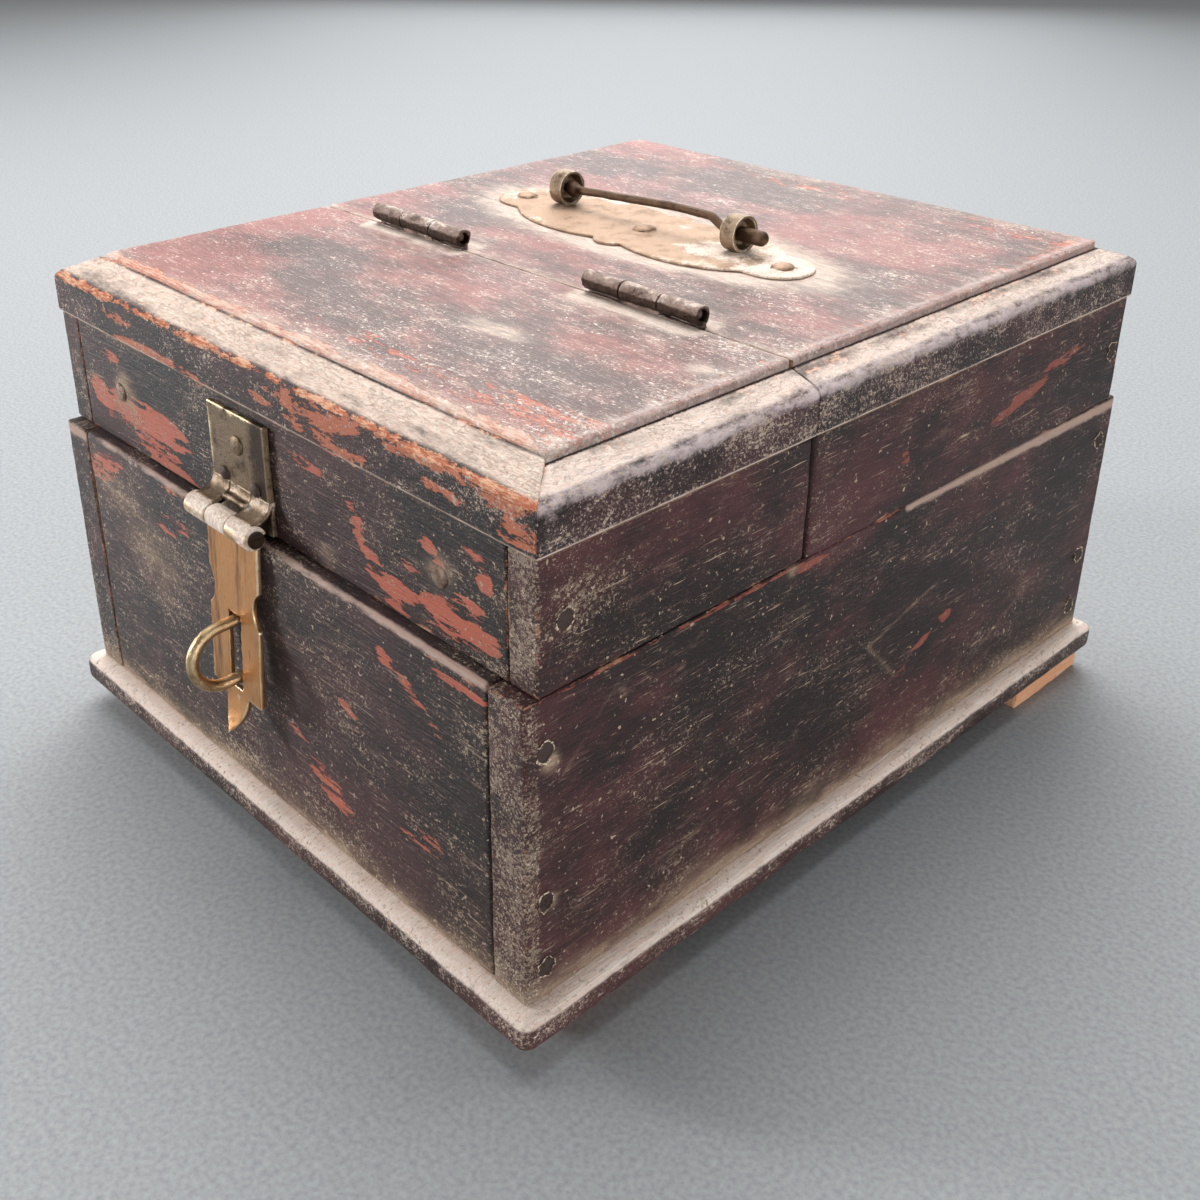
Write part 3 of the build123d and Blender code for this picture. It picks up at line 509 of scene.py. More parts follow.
# Planed mouldings: the coat is lost under cream dust, and the arris is rubbed to orange wood.
moulding_x = lacquered_wood("dusty_moulding_x", (0.2, 1.0, 1.0), creamy, rough=0.5, wear=0.06)
# The side strips' palette also holds the colour of the painted highlight under their outer arris.
moulding_y = lacquered_wood("dusty_moulding_y", (1.0, 0.3, 1.0), pale, rough=0.4, wear=0.05)
# Bare sawn softwood: dry, orange and matt, painted lighter than the wood as painted light, because the
# feet stand in the shade under the base.
foot_wood = lacquered_wood("worn_foot_wood", along_y, orange_wood, rough=0.7)
print("wood finishes:", [m.name for m in bpy.data.materials])

# %% [markdown]
# ## Where the finish has gone
#
# Patches of flaked lacquer are ovals with a place, half sizes and a tilt on the board's face. The
# noise in the material breaks their edges, so a few ovals are enough for a convincing patch.


# %% Flaked patches
def patches(points, across, ovals):
    """The paint mark: high inside each oval. across is the board's long axis, 0 for X and 1 for Y."""
    mark = np.zeros(len(points))
    for u, z, half_u, half_z, tilt, strength in ovals:
        du = points[:, across] / mm - u
        dz = points[:, 2] / mm - z
        c, s = math.cos(math.radians(tilt)), math.sin(math.radians(tilt))
        away = np.hypot((du * c + dz * s) / half_u, (-du * s + dz * c) / half_z)
        mark = np.maximum(mark, strength * (1 - ramp(away, 0.2, 1.6)))
    return mark


def strokes(points, across, lines):
    """A mark along straight scratches: from and to (u, z) in millimetres, width and strength."""
    mark = np.zeros(len(points))
    flat = points[:, [across, 2]] / mm
    for u0, z0, u1, z1, width, strength in lines:
        way = np.array([u1 - u0, z1 - z0])
        part = np.clip((flat - (u0, z0)) @ way / (way @ way), 0, 1)
        away = np.linalg.norm(flat - (u0, z0) - part[:, None] * way, axis=1)
        mark = np.maximum(mark, strength * np.exp(-((away / width) ** 2)))
    return mark


trial = patches(np.array([[0.01, 0, 0.01]]), 0, [(10, 10, 5, 2, 0, 1)])
print("the mark in the middle of an oval:", round(float(trial[0]), 2))

# %% [markdown]
# ### Where the patches are
#
# Wear has its places: hands lift the lid by its front corners, the hasp knocks the apron, keys and coins
# scratch the sides. Each list is one face of the box. An oval is its place (along, up), half its length
# and height, its tilt in degrees and its strength; a scratch is its two ends, its width and strength.

# %% Patches for each face
apron_patches = [
    (-77, 104, 8, 4, -40, 1.2), (-50, 103, 17, 5.5, -3, 1.5), (-62, 103, 10, 5, -20, 1.3),
    (-44, 94.5, 18, 3.0, -8, 0.8), (-70, 117, 7, 2.4, 0, 0.62), (38.2, 108.5, 2.8, 4.2, 18, 0.85),
    (36, 113, 2.4, 2.4, 0, 0.8), (50, 99.2, 9, 2.8, -3, 1.1), (43, 103, 5, 2.2, -10, 0.8),
    (71, 100, 12, 4.4, 0, 1.3), (77, 103, 4, 2.4, 0, 1.0), (75, 105.6, 6, 1.9, -5, 0.85),
    (62.4, 114, 3.2, 1.8, -10, 0.85), (66, 111, 2.4, 1.4, 0, 0.7), (57, 106.8, 5, 1.6, 0, 0.68),
    (80, 112, 3, 5, 0, 0.6),
    (20, 117, 9, 1.6, -4, 0.62), (78, 117, 7, 1.6, -4, 0.66), (56, 94.6, 12, 1.4, 0, 0.62),
]
fascia_patches = [
    (24, 131, 20, 3.0, 0, 0.8), (32, 126, 22, 2.2, -2, 0.82), (-45, 124.4, 26, 1.8, 0, 0.8),
    (87, 131, 13, 3.2, -8, 0.72), (90, 126.5, 7, 2.6, 0, 0.8), (60, 133, 30, 1.8, 0, 0.8),
    (-60, 130, 18, 2.0, -3, 0.64), (66, 128, 14, 2.0, -3, 0.68), (0, 128, 14, 1.6, -3, 0.6),
]
front_patches = [
    (50, 83.3, 4.5, 2.8, -30, 0.72), (58, 79.5, 7, 2.2, -30, 0.66), (66, 74, 6, 2.2, -30, 0.64),
    (25, 34, 12, 5, -25, 0.66), (-75, 85, 14, 5, 20, 0.66), (60, 40, 10, 4, 10, 0.6),
    (-40, 80, 12, 4, 8, 0.58),
    (35, 62, 9, 2.0, -30, 0.6), (10, 45, 10, 2.2, -25, 0.58), (75, 88, 14, 1.4, 0, 0.75),
]
side_patches = [
    (29, 45, 11, 1.9, 30, 0.8), (-20.5, 90.6, 8, 1.3, 0, 0.74), (-45, 91.9, 26, 0.6, 0, 0.7),
    (-85, 91.9, 18, 0.5, 0, 0.66), (43, 51, 3.4, 2.6, 0, 0.8),
]
# The last line runs along the side's top ledge; besides dust it carries a painted highlight there.
side_scratches = [
    (7, 56.2, 37.4, 63.9, 0.6, 0.65), (7, 56.2, 21, 41.7, 0.6, 0.75), (-98, 72, -82, 88, 0.6, 0.45),
    (-40, 60, -22, 78, 0.7, 0.4), (60, 30, 84, 42, 0.7, 0.5), (80, 70, 100, 60, 0.7, 0.4),
    (-70, 30, -52, 35, 0.7, 0.4), (18.3, 92.3, 122.5, 90.4, 1.3, 1.7),
]
box_side = 95
nail_chips = [(-101.4, 77.0, 2.6, 1.3), (-101.2, 41.2, 2.2, 0.9), (-27, 92, 2.4, 0.7)]
rear_side_patches = [
    (72, 109, 26, 3.0, 17, 0.72), (92, 114, 16, 2.0, 14, 0.66), (14, 106.5, 2.6, 2.6, 0, 0.75),
]
print("patches on the lid's front:", len(apron_patches))

# %% [markdown]
# ## The boards
#
# Each board takes its size from its CAD node. The dust mark collects where dust does: just above the
# base, in the corner under a moulding, and along the ledge. Inner faces were never lacquered. Places
# and distances in the marks are in millimetres.


# %% One worn board
cut_y = -22.95


def inner_face(points, low, high, thin, outward):
    """1 on the face that looks into the box, 0 on the outer face, the ends and the arrises."""
    depth = (points[:, thin] - low[thin]) if outward < 0 else (high[thin] - points[:, thin])
    thickness = high[thin] - low[thin]
    to_end = np.min(np.delete(np.minimum(points - low, high - points), thin, axis=1), axis=1)
    return ramp(depth, thickness * 0.8, thickness * 0.9) * ramp(to_end, 0, 0.6 * mm)


def dress_board(node, body, material, radius, seed, marks_at=None, step=1.5, thin=None, outward=0,
                chips=(), rubbed=1.0, trim=(0, 0, 0, 0)):
    """One worn board in place of its CAD node; marks_at gives its other marks from its points."""
    low, high = (np.array(corner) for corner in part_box(node))
    low[:2] += np.array(trim[:2]) * mm
    high[:2] -= np.array(trim[2:]) * mm
    points, faces, marks = worn_block(low, high, step * mm, radius * mm, seed, chips)
    if outward:
        marks["inside"] = inner_face(points, low, high, thin, outward)
    if marks_at:
        marks.update(marks_at(points))
    # The saw cut is hidden when the lid is down, so nothing rubs it.
    marks["arris"] *= rubbed * ramp(np.abs(points[:, 1] / mm - cut_y), 1.2, 3.0)
    marks["arris"] += marks.pop("worn", 0)
    return piece(node + "_dressed", points, faces, marks, material, body, [node])


print("the lid is sawn from the fixed part at", cut_y, "mm")

# %% [markdown]
# ### Marks of the walls
#
# Dust lies deep above the base board and thins out upwards. The front has more of it than the sides, and
# a ledge with rubbed wood under a painted highlight along its arris; the sides have a painted highlight
# along their top ledge. Open end grain at the front corners holds grit that a smooth face sheds.


# %% Marks of the walls
def wall_marks(points):
    """Dust that the base board holds against a wall, and sparse grit over the rest."""
    height = points[:, 2] / mm - 16
    return {
        "dust": 1.1 * np.exp(-height / 4.5) + 0.08 + 0.05 * drift(points, 30 * mm, 41),
        "grit": 0.03 + 0.35 * np.exp(-height / 12) + 0.16 * drift(points, 24 * mm, 42)
        + 0.12 * drift(points, 7 * mm, 46),
        "paint": patches(points, 1, side_patches),
    }


def front_marks(points):
    """The front: a dusty cloud on its left, grit on the end grain, a painted highlight along the ledge's
    arris on top, with rubbed wood just below it.
    """
    x, z = points[:, 0] / mm, points[:, 2] / mm
    cloud = near(points, (-52, -108, 66), 15) + 0.6 * near(points, (-72, -108, 80), 14)
    ledge = ramp(z, 91.0, 92.0)
    marks = wall_marks(points)
    rim = np.exp(-(((points[:, 1] / mm + 107.9) / 0.8) ** 2)) * ramp(z, 90.4, 91.4)
    # Painted highlight along the ledge's front arris, brighter to the right.
    marks["haze"] = rim * (0.85 + 0.35 * ramp(x, -20, 60) + 0.6 * drift(points, 8 * mm, 48))
    marks["arris"] = ramp(z, 89.2, 90.4) * (1 - ledge) * (0.62 + 0.35 * drift(points, 14 * mm, 49))
    marks["dust"] += 0.6 * cloud
    marks["grit"] += 0.13 + 0.35 * cloud + 0.16 * drift(points, 12 * mm, 44)
    marks["paint"] = patches(points, 0, front_patches)
    return marks


def end_grain(points, from_x):
    """1 on the front ends of a side board, where grit sticks in the open end grain."""
    x = points[:, 0] / mm
    ends = ramp(-points[:, 1] / mm, 103.8, 104.6) * ramp(np.abs(x), from_x, from_x + 0.5)
    return ends * (0.45 + 0.55 * ramp(x, -1, 1))


def own_side(points):
    """The points, with front and back swapped on the left, so that its wear differs from the right's."""
    return points * np.where(points[:, :1] < 0, (1, -1, 1), (1, 1, 1))


def side_marks(points):
    """A body side, with its end grain on the front and a painted highlight along its top ledge."""
    marks = wall_marks(points)
    marks["paint"] = patches(own_side(points), 1, side_patches)
    marks["grit"] += 0.52 * end_grain(points, 84.0)
    marks["dust"] += 0.75 * strokes(own_side(points), 1, side_scratches)
    # Painted highlight along the top ledge, drawn on the last line of side_scratches.
    marks["haze"] = 1.1 * strokes(own_side(points), 1, side_scratches[-1:])
    for y, z, size, strength in nail_chips:
        marks["dust"] += strength * near(points, (box_side, y, z), size)
    return marks


print("wall marks:", sorted(wall_marks(np.zeros((1, 3)))))

# %% [markdown]
# ### Marks of the upper boards
#
# The boards above the ledge belong to the lid and, behind the saw cut, to the fixed part. Dust gathers
# under their moulding and round the hasp, and the cut itself shows as a dark line.

# %% Marks of the upper boards
rear_middle = 46.5


def apron_marks(points):
    """Grit below the moulding and on the lid's end grain."""
    below = ramp(points[:, 2] / mm, 119, 123.2)
    front = ramp(-points[:, 1] / mm, 103.5, 104.5)
    hasp_halo = near(points, (-6, -105, 104), 17) * front
    ends = end_grain(points, 86.3)
    return {
        "dust": 0.03 + 0.15 * below + 0.22 * hasp_halo + 0.1 * ends + 0.05 * drift(points, 25 * mm, 43)
        + 0.45 * near(points, (26, -105, 96), 6) + 0.9 * near(points, (66.2, -105, 109), 5)
        + 1.1 * near(points, (-64, -105, 109), 6),
        "grit": 0.09 + 0.12 * below + 0.09 * front + 0.32 * ends + 0.14 * drift(points, 13 * mm, 45)
        + 0.1 * drift(points, 6 * mm, 47) + 0.3 * near(points, (box_side, -92, 108), 14),
        "paint": patches(points, 0, apron_patches) * front * (1 - ends),
        "line": 0.9 * np.exp(-((points[:, 1] / mm - cut_y) ** 2)),
    }


def rear_side_marks(points):
    """The fixed part's sides, with a brushed red streak that the left side has back to front."""
    swapped = own_side(points) + (0, 2 * rear_middle * mm, 0) * (points[:, :1] < 0)
    return dict(apron_marks(points), paint=patches(swapped, 1, rear_side_patches))


print("marks of the upper boards:", sorted(apron_marks(np.zeros((1, 3)))))

# %% [markdown]
# ### All the boards
#
# The right side and the front are seen from close by, so they are cut finer than the others. Chips sit
# along the saw cut, where a saw tears the fibres, and down the box's near corner.

# %% Build the boards
cut_chips = [(box_side, -23, z, 4, 0.55) for z in (95, 100, 106, 112, 118, 123)]
corner_wear = ((88, 4, 0.9), (30, 5, 0.7), (62, 3, 0.5))
near_corner = [(box_side, -108.4, *wear) for wear in corner_wear]
for side, sign in (("left", -1), ("right", 1)):
    step = 1.0 if side == "right" else 1.6
    dress_board(f"body_side_{side}", "carcass", lacquer_y, 0.7, 11 + sign, side_marks, step, 0, sign,
                chips=near_corner, rubbed=0.95)
    dress_board(f"rear_side_{side}", "carcass", lacquer_y, 0.6, 17 + sign, rear_side_marks, 1.2, 0, sign,
                chips=cut_chips)
    dress_board(f"lid_side_{side}", "lid", lacquer_y, 0.7, 21 + sign, apron_marks, 1.2, 0, sign,
                chips=cut_chips)
dress_board("body_front_board", "carcass", lacquer_x, 1.2, 31, front_marks, 1.1, 1, -1)
dress_board("body_back_board", "carcass", lacquer_x, 0.7, 33, wall_marks, 1.8, 1, 1)
dress_board("rear_back_board", "carcass", lacquer_x, 0.6, 35, None, 1.8, 1, 1)
dress_board("lid_front_apron", "lid", lacquer_x, 0.7, 37, apron_marks, 1.0, 1, -1)

# %% [markdown]
# ### Inside
#
# The dividers and everything behind the lacquer are plain pine-coloured wood, darkened by what was kept
# there. The boards' own lacquer does for them, with its mark for inside set over the whole piece.


# %% Dividers
def bare(points):
    """The whole piece counts as inside, so its material shows plain wood."""
    return {"inside": np.ones(len(points))}


for node, material, seed in (
    ("long_divider", lacquer_x, 51), ("cross_divider_left", lacquer_y, 53),
    ("cross_divider_right", lacquer_y, 55),
):
    dress_board(node, "carcass", material, 0.6, seed, bare, 2.0)
print("dividers dressed in bare wood")

# %% [markdown]
# ## Base board and feet
#
# The base board is a plank with a rounded upper edge, dusty on top where nobody wipes, and battered
# below; the pale band on top is also a painted highlight on the rounding. Its edge is half-round above
# and ragged beneath.

# %% Base board
base_chips = [
    (99.5, -70, 7, 5, 1.2), (99.5, -48, 7, 4, 0.9), (99.5, -20, 7, 6, 0.9), (60, -112.9, 7, 6, 0.8),
]
low, high = (np.array(corner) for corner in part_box("base_board"))
points, faces, marks = worn_block(low, high, 1.4 * mm, 3.0 * mm, 61, base_chips, unevenness=0.1)
height = points[:, 2] / mm
# Dust on the upper face and the top of the rounding, which is also a painted highlight there.
marks["dust"] = ramp(height, 13.5, 14.8) * (1.45 + 0.2 * drift(points, 14 * mm, 63)) + 0.1
marks["grit"] = 0.1 + 0.3 * ramp(height, 9.0, 13.0)
rubbed_line = np.exp(-np.abs(height - 13.6) / 0.7) * 0.76
marks["arris"] = np.maximum(rubbed_line, ramp(-height, -8.6, -7.4) * 0.85)
battered = palette(
    dark, black="#33221f", maroon="#5c3a38", dust="#f6dac9", film="#fff4ea", grit="#cdb6a2", speck="#d8c2b0"
)
# The dark coat again, knocked and scuffed: brown below, with nearly white dust on its upper face that is
# also a painted highlight along the top of the rounding.
base_lacquer = lacquered_wood("battered_base_lacquer", along_y, battered, 0.5)
piece("base_board_dressed", points, faces, marks, base_lacquer, "carcass", ["base_board"])
for place in ("front_left", "front_right", "rear_left", "rear_right"):
    dress_board(f"foot_{place}", "carcass", foot_wood, 0.9, 71)
print("base board", [round(float(s) / mm, 1) for s in high - low], "mm")

# %% [markdown]
# ## Shapes along a path
#
# A moulding, a bent strip of brass and a hinge pin have something in common: a row of rings with the same
# number of points, joined into a skin and closed at both ends. `skinned` does that for all of them.


# %% Join rings into a skin
def skinned(rings):
    """Points and faces of a closed skin through rings of equal length, with a flat face at each end."""
    count = len(rings[0])
    points = np.concatenate(rings)
    faces = []
    for i in range(len(rings) - 1):
        for k in range(count):
            a, b = i * count + k, i * count + (k + 1) % count
            faces.append((a, b, b + count, a + count))
    last = (len(rings) - 1) * count
    return points, faces + [tuple(range(count))[::-1], tuple(range(last, last + count))]


def face_out(made):
    """Turns all faces of a closed piece outwards."""
    edit = bmesh.new()
    edit.from_mesh(made.data)
    bmesh.ops.recalc_face_normals(edit, faces=edit.faces)
    edit.to_mesh(made.data)
    edit.free()
    return made


print("a strip of 3 rings of 4 points has", len(skinned([np.zeros((4, 3))] * 3)[1]), "faces")

# %% [markdown]
# ## The panel
#
# The top panel is one board, sawn across with the lid. Its lacquer is thin and faded, and its pale colour
# also holds a painted sheen of the light above; its arrises are rubbed down to orange wood, and dust lies
# against the hinges and the handle's plate.


# %% Marks of the panel
hinge_x, plate_middle = 42.5, (-3, 25)


def panel_marks(points):
    """Dust along the panel's rim and round its hardware, red ground where the lacquer is thin, a painted
    highlight on its right arris.
    """
    x, y = points[:, 0] / mm, points[:, 1] / mm
    rim = ramp(np.abs(x), 78, 86) + ramp(-y, 85, 94) + ramp(y, 100, 109)
    from_cut = np.abs(y - cut_y)
    beside = ramp(-np.abs(np.abs(x) - hinge_x), -23, -18)
    foot = beside * (np.exp(-(((from_cut - 3) / 2.6) ** 2)) * 3 + np.exp(-(((y + 23) / 12) ** 2)))
    plate = np.hypot((x - plate_middle[0]) / 60, (y - plate_middle[1]) / 21)
    halo = ramp(-plate, -1.35, -0.9)
    streak = np.exp(-(((x - 30) / 10) ** 2) - ((y + 58) / 3.5) ** 2)
    stuck = np.exp(-((np.hypot(x - 78, y + 42) / 3.4) ** 2))
    cut = np.exp(-from_cut / 1.2)
    rear = ramp(y, 40, 100) * (0.3 + 0.25 * drift(points * (0.25, 1, 1), 9 * mm, 91))
    front = np.exp(-(((y + 85) / 9) ** 2)) * ramp(x, -80, 40) * (0.45 + 0.3 * drift(points, 12 * mm, 95))
    edge = ramp(x, 79, 85) * 0.42 + 0.12 * near(points, (74, -85, 139), 12)
    cut_face = ramp(-from_cut, -0.9, -0.5) * ramp(-points[:, 2] / mm, -139.0, -138.2)
    beneath = ramp(-points[:, 2] / mm, -124.2, -123.8)
    return {
        "dust": np.clip(
            0.08 + 0.2 * ramp(x, -85, -10) + 0.25 * rim + 0.4 * foot + 0.95 * halo + 0.9 * streak
            + 0.9 * cut + 0.7 * stuck + 0.25 * ramp(-y, 89.5, 93.5), 0, 1.2,
        ),
        "grit": 0.02 + 0.2 * ramp(x, 0, 70) + 0.22 * ramp(-y, 45, 90) + 0.1 * rim
        + 0.14 * drift(points, 14 * mm, 93),
        "inside": np.maximum(beneath, cut_face),
        "line": 0.45 * near(points, (-66, -63, 139), 28),
        "paint": np.clip(rear + front + edge, 0, 0.7),
        "worn": ramp(-y, 87.5, 93) * (0.85 + 0.35 * drift(points, 7 * mm, 97)) + 0.2 * ramp(x, 82.5, 86),
        # Painted highlight along the panel's right arris.
        "haze": 0.9 * ramp(x, 83.2, 84.6) * (1 + 0.3 * drift(points, 9 * mm, 99)),
    }


print("marks of the panel:", sorted(panel_marks(np.zeros((1, 3)))))

# %% [markdown]
# ### Two halves and the dust between
#
# The halves are trimmed on their outer sides, where the mouldings cover them, so that no two faces lie in
# one plane. The saw cut is packed with dust, which is a thin ragged strip of its own.

# %% Panel
rubbed_rim = [(x, -95.2, 139.3, 9, 0.9) for x in range(-80, 85, 12)]
for node, body, seed, trim in (
    ("lid_panel", "lid", 81, (1.8, 3.4, 1.8, 0)), ("rear_panel", "carcass", 85, (1.8, 0, 1.8, 1.8)),
):
    dress_board(node, body, panel_lacquer, 0.9, seed, panel_marks, 1.3, chips=rubbed_rim,
                rubbed=1.35, trim=trim)
low, high = np.array((-76, -23.2, 138.3)) * mm, np.array((60, -22.62, 139.2)) * mm
points, faces, _ = worn_block(low, high, 1.2 * mm, 0.15 * mm, 89)
points[:, 2] += 0.1 * mm * drift(points, 1.7 * mm, 90)
marks = {"dust": 1.1 + 0.5 * drift(points, 3 * mm, 92)}
piece("dust_in_saw_cut", points, faces, marks, panel_lacquer, "carcass")

# %% [markdown]
# ## Mouldings
#
# Four mouldings frame the panel, and the side ones are sawn in two with the lid. Each has an upright
# fascia, a soft outer arris and a slope that rises to the panel's foot. A moulding is a profile drawn
# once and carried along the board, as a moulding plane does.


# %% Moulding profile
fascia_low, slope_low, slope_high = 123.5 * mm, 134.5 * mm, 137.4 * mm
side_width, front_width = 8.6 * mm, 10.2 * mm


def moulding_profile(step, width, rise=0.0):
    """Points of the cross-section as (distance out from the panel, height), going round once."""
    corners = [(0, fascia_low), (width, fascia_low), (width, slope_low), (0, slope_high + rise)]
    rounding = [0.3 * mm, 0.7 * mm, 2.2 * mm, 0.5 * mm]
    outline = []
    for i, (corner, radius) in enumerate(zip(corners, rounding)):
        here = np.array(corner)
        to_last = np.array(corners[i - 1]) - here
        to_next = np.array(corners[(i + 1) % 4]) - here
        first = here + to_last / np.linalg.norm(to_last) * radius
        last = here + to_next / np.linalg.norm(to_next) * radius
        for t in np.linspace(0, 1, 7):
            outline.append((1 - t) ** 2 * first + 2 * t * (1 - t) * here + t**2 * last)
        next_radius = rounding[(i + 1) % 4]
        end = np.array(corners[(i + 1) % 4]) - to_next / np.linalg.norm(to_next) * next_radius
        count = max(1, int(np.linalg.norm(end - last) / step))
        outline += [last + (end - last) * t for t in np.linspace(0, 1, count + 1)[1:-1]]
    return np.array(outline)


print("moulding profile has", len(moulding_profile(0.7 * mm, side_width)), "points")

# %% [markdown]
# ### A strip with its mitres
#
# At the corners each strip is cut at an angle, so each point of the profile ends where its own distance
# from the panel says. A little shrinking at the ends leaves the fine open line of a real mitre. Dust lies
# on the slope in streaks along the strip, and hands have rubbed the arris to the wood.
# The side strips carry a painted highlight just under their outer arris.


# %% Moulding strips
def swept_strip(name, node, body, start, end, along, outward, mitred, material, seed, width=side_width,
                paint=None, rise=0.0):
    """A moulding strip from start to end along one axis; mitred gives the slope of the cut at each end."""
    section = moulding_profile(0.7 * mm, width, rise)
    stops = cuts(0.0, 1.0, 1.1 * mm / (end - start), 2.5 * mm / (end - start))
    rings = []
    for t in stops:
        grow = (section[:, 0] * mitred[0], section[:, 0] * mitred[1])
        place = (start - grow[0]) * (1 - t) + (end + grow[1]) * t
        ring = np.zeros((len(section), 3))
        ring[:, along] = place
        ring[:, 1 - along] = outward[0] + outward[1] * section[:, 0]
        ring[:, 2] = section[:, 1]
        rings.append(ring)
    points, faces = skinned(rings)
    out = np.tile(section[:, 0], len(stops))
    ends = np.exp(-np.repeat(np.minimum(stops, 1 - stops), len(section)) * (end - start) / (0.5 * mm))
    worn_away = 0.16 * mm * (1 + drift(points, 15 * mm, seed)) * ramp(points[:, 2], 133.0 * mm, slope_low)
    shrink = 0.12 * mm * ends + worn_away
    points[:, 1 - along] -= outward[1] * shrink * ramp(out, 3 * mm, width)
    points[:, 2] -= shrink * ramp(points[:, 2], 133.5 * mm, slope_low)
    top = ramp(points[:, 2], 134.3 * mm, 135.2 * mm)
    arris = np.exp(-np.hypot(out - width, points[:, 2] - slope_low) / (1.6 * mm))
    foot = ramp(-out, -1.1 * mm, -0.3 * mm) * top
    on_side = 1.0 if along == 1 else 0.0
    bare_strip = np.exp(-(((out - 2.0 * mm) / (1.3 * mm)) ** 2))
    corner = near(points, (93, -102, 134), 8)
    rubbed = np.clip((1.8 - 1.2 * on_side) * arris, 0, 1.2) + 0.3 * corner
    drawn_out = np.where(np.arange(3) == along, 0.12, 1.0)
    streaky = 0.4 * drift(points * drawn_out, 2.2 * mm, seed + 4)
    slope = top * (1.2 + streaky + 0.3 * drift(points, 12 * mm, seed + 1)) * (1 - 0.8 * arris)
    open_joint = 0.8 * (1 - on_side) * near(points, (33, -96, 136), 22)
    marks = {
        "dust": np.clip(0.1 + 0.08 * on_side + slope * (1 - 0.4 * on_side * bare_strip) - foot, 0, 1.5),
        "grit": 0.2 + 0.14 * on_side - 0.2 * top + 0.12 * drift(points, 10 * mm, seed + 2)
        + 0.1 * drift(points, 5 * mm, seed + 3),
        "line": foot * (0.2 + 0.7 * on_side + open_joint),
        # Painted highlight along the side strips' outer arris.
        "haze": on_side * np.exp(-(((points[:, 2] - 133.6 * mm) / (1.7 * mm)) ** 2)),
        "arris": np.maximum(rubbed, 0.8 * top * (1 - arris)),
    }
    if paint:
        marks["paint"] = patches(points, along, paint) * (1 - top)
    return face_out(piece(name, points, faces, marks, material, body, [node]))


panel_x, panel_front, panel_back = 86.9 * mm, -95.25 * mm, 109.95 * mm
cut_front, cut_rear = -23.25 * mm, -22.65 * mm
skew = side_width / front_width
swept_strip("moulding_front", "lid_moulding_front", "lid", -panel_x, panel_x, 0, (panel_front, -1),
            (skew, skew), moulding_x, 101, front_width, fascia_patches, 1.3 * mm)
swept_strip("moulding_back", "rear_moulding_back", "carcass", -panel_x, panel_x, 0, (panel_back, 1), (1, 1),
            moulding_x, 103)
for side, sign in (("left", -1), ("right", 1)):
    swept_strip(f"moulding_lid_{side}", f"lid_moulding_{side}", "lid", panel_front, cut_front, 1,
                (sign * panel_x, sign), (1 / skew, 0), moulding_y, 105)
    swept_strip(f"moulding_rear_{side}", f"rear_moulding_{side}", "carcass", cut_rear, panel_back, 1,
                (sign * panel_x, sign), (0, 1), moulding_y, 107)

# %% [markdown]
# ## Metal
#
# Brass goes from bright yellow to a brown skin of tarnish, thickest where nobody touches it and rubbed
# through on edges and high spots. Iron goes dark and scabby. Both are metals, so the colour is in the
# reflection, and roughness decides how clearly that shows.


# %% Metal finishes
def old_metal(name, tones, rub, rough, pits, dirt=0.0, brushed=(1.0, 1.0, 1.0), relief=0.15):
    """A tarnished metal from its rubbed, dull and crusted tones; brushed is small along the polishing."""
    bright, dull, crust = (linear(tone) for tone in tones)
    material, tree, shader = fresh_material(name)
    place = add(tree, "ShaderNodeTexCoord").outputs["Object"]
    polished = add(tree, "ShaderNodeMapping", {"Vector": place, "Scale": brushed}).outputs[0]
    edge, dust, painted_shade = (
        add(tree, "ShaderNodeAttribute", attribute_name=mark).outputs["Fac"]
        for mark in ("edge", "dust", "painted_shade")
    )
    blotch = grains(tree, polished, 170.0, 6.0, 0.7)
    fine = grains(tree, polished, 1300.0, 5.0, 0.75)
    colour, _ = layer(tree, crust, dull, uneven(tree, blotch, fine, 0.4), -1.3, 0.2)
    colour, _ = layer(tree, colour, bright, uneven(tree, edge, blotch, 0.35), rub, rub + 0.5)
    # Painted shade: the crust colour laid where the painted_shade mark is high.
    colour, _ = layer(tree, colour, crust, uneven(tree, painted_shade, blotch, 0.4), 0.3, 1.0)
    colour, crusted = layer(tree, colour, crust, uneven(tree, fine, blotch, 0.6), 1.0 - pits, 1.4 - pits)
    speckle = uneven(tree, fine, blotch, 0.5)
    fallen, _ = layer(tree, linear("#cdb5a3"), linear("#f5e6d8"), speckle, -0.8, 0.8)
    colour, dusty = layer(tree, colour, fallen, uneven(tree, dust, blotch, 0.35), 0.7 - dirt, 1.1 - dirt)
    tree.links.new(colour, shader.inputs["Base Color"])
    covered = add(tree, "ShaderNodeMath", {0: crusted, 1: dusty}, operation="MAXIMUM").outputs[0]
    for name, clean, dirty in (("Metallic", 1.0, 0.05), ("Roughness", rough, 0.8)):
        value = add(tree, "ShaderNodeMapRange", {"Value": covered, "To Min": clean, "To Max": dirty})
        tree.links.new(value.outputs[0], shader.inputs[name])
    height = uneven(tree, uneven(tree, 0.0, blotch, 0.3), fine, 0.3)
    bump = add(tree, "ShaderNodeBump", {"Height": height, "Distance": relief * mm, "Strength": 0.7})
    tree.links.new(bump.outputs[0], shader.inputs["Normal"])
    return material


print("a metal reads the marks edge, dust and stain")

# %% [markdown]
# ### The metals of this box
#
# Each has three tones: rubbed, dull and crusted. The numbers after them are how much edge it takes to rub
# it bright, its roughness where it is clean, and how pitted it is. Polished brass has a roughness near
# 0.1 when new, and handling has brought all of these to a third or more.

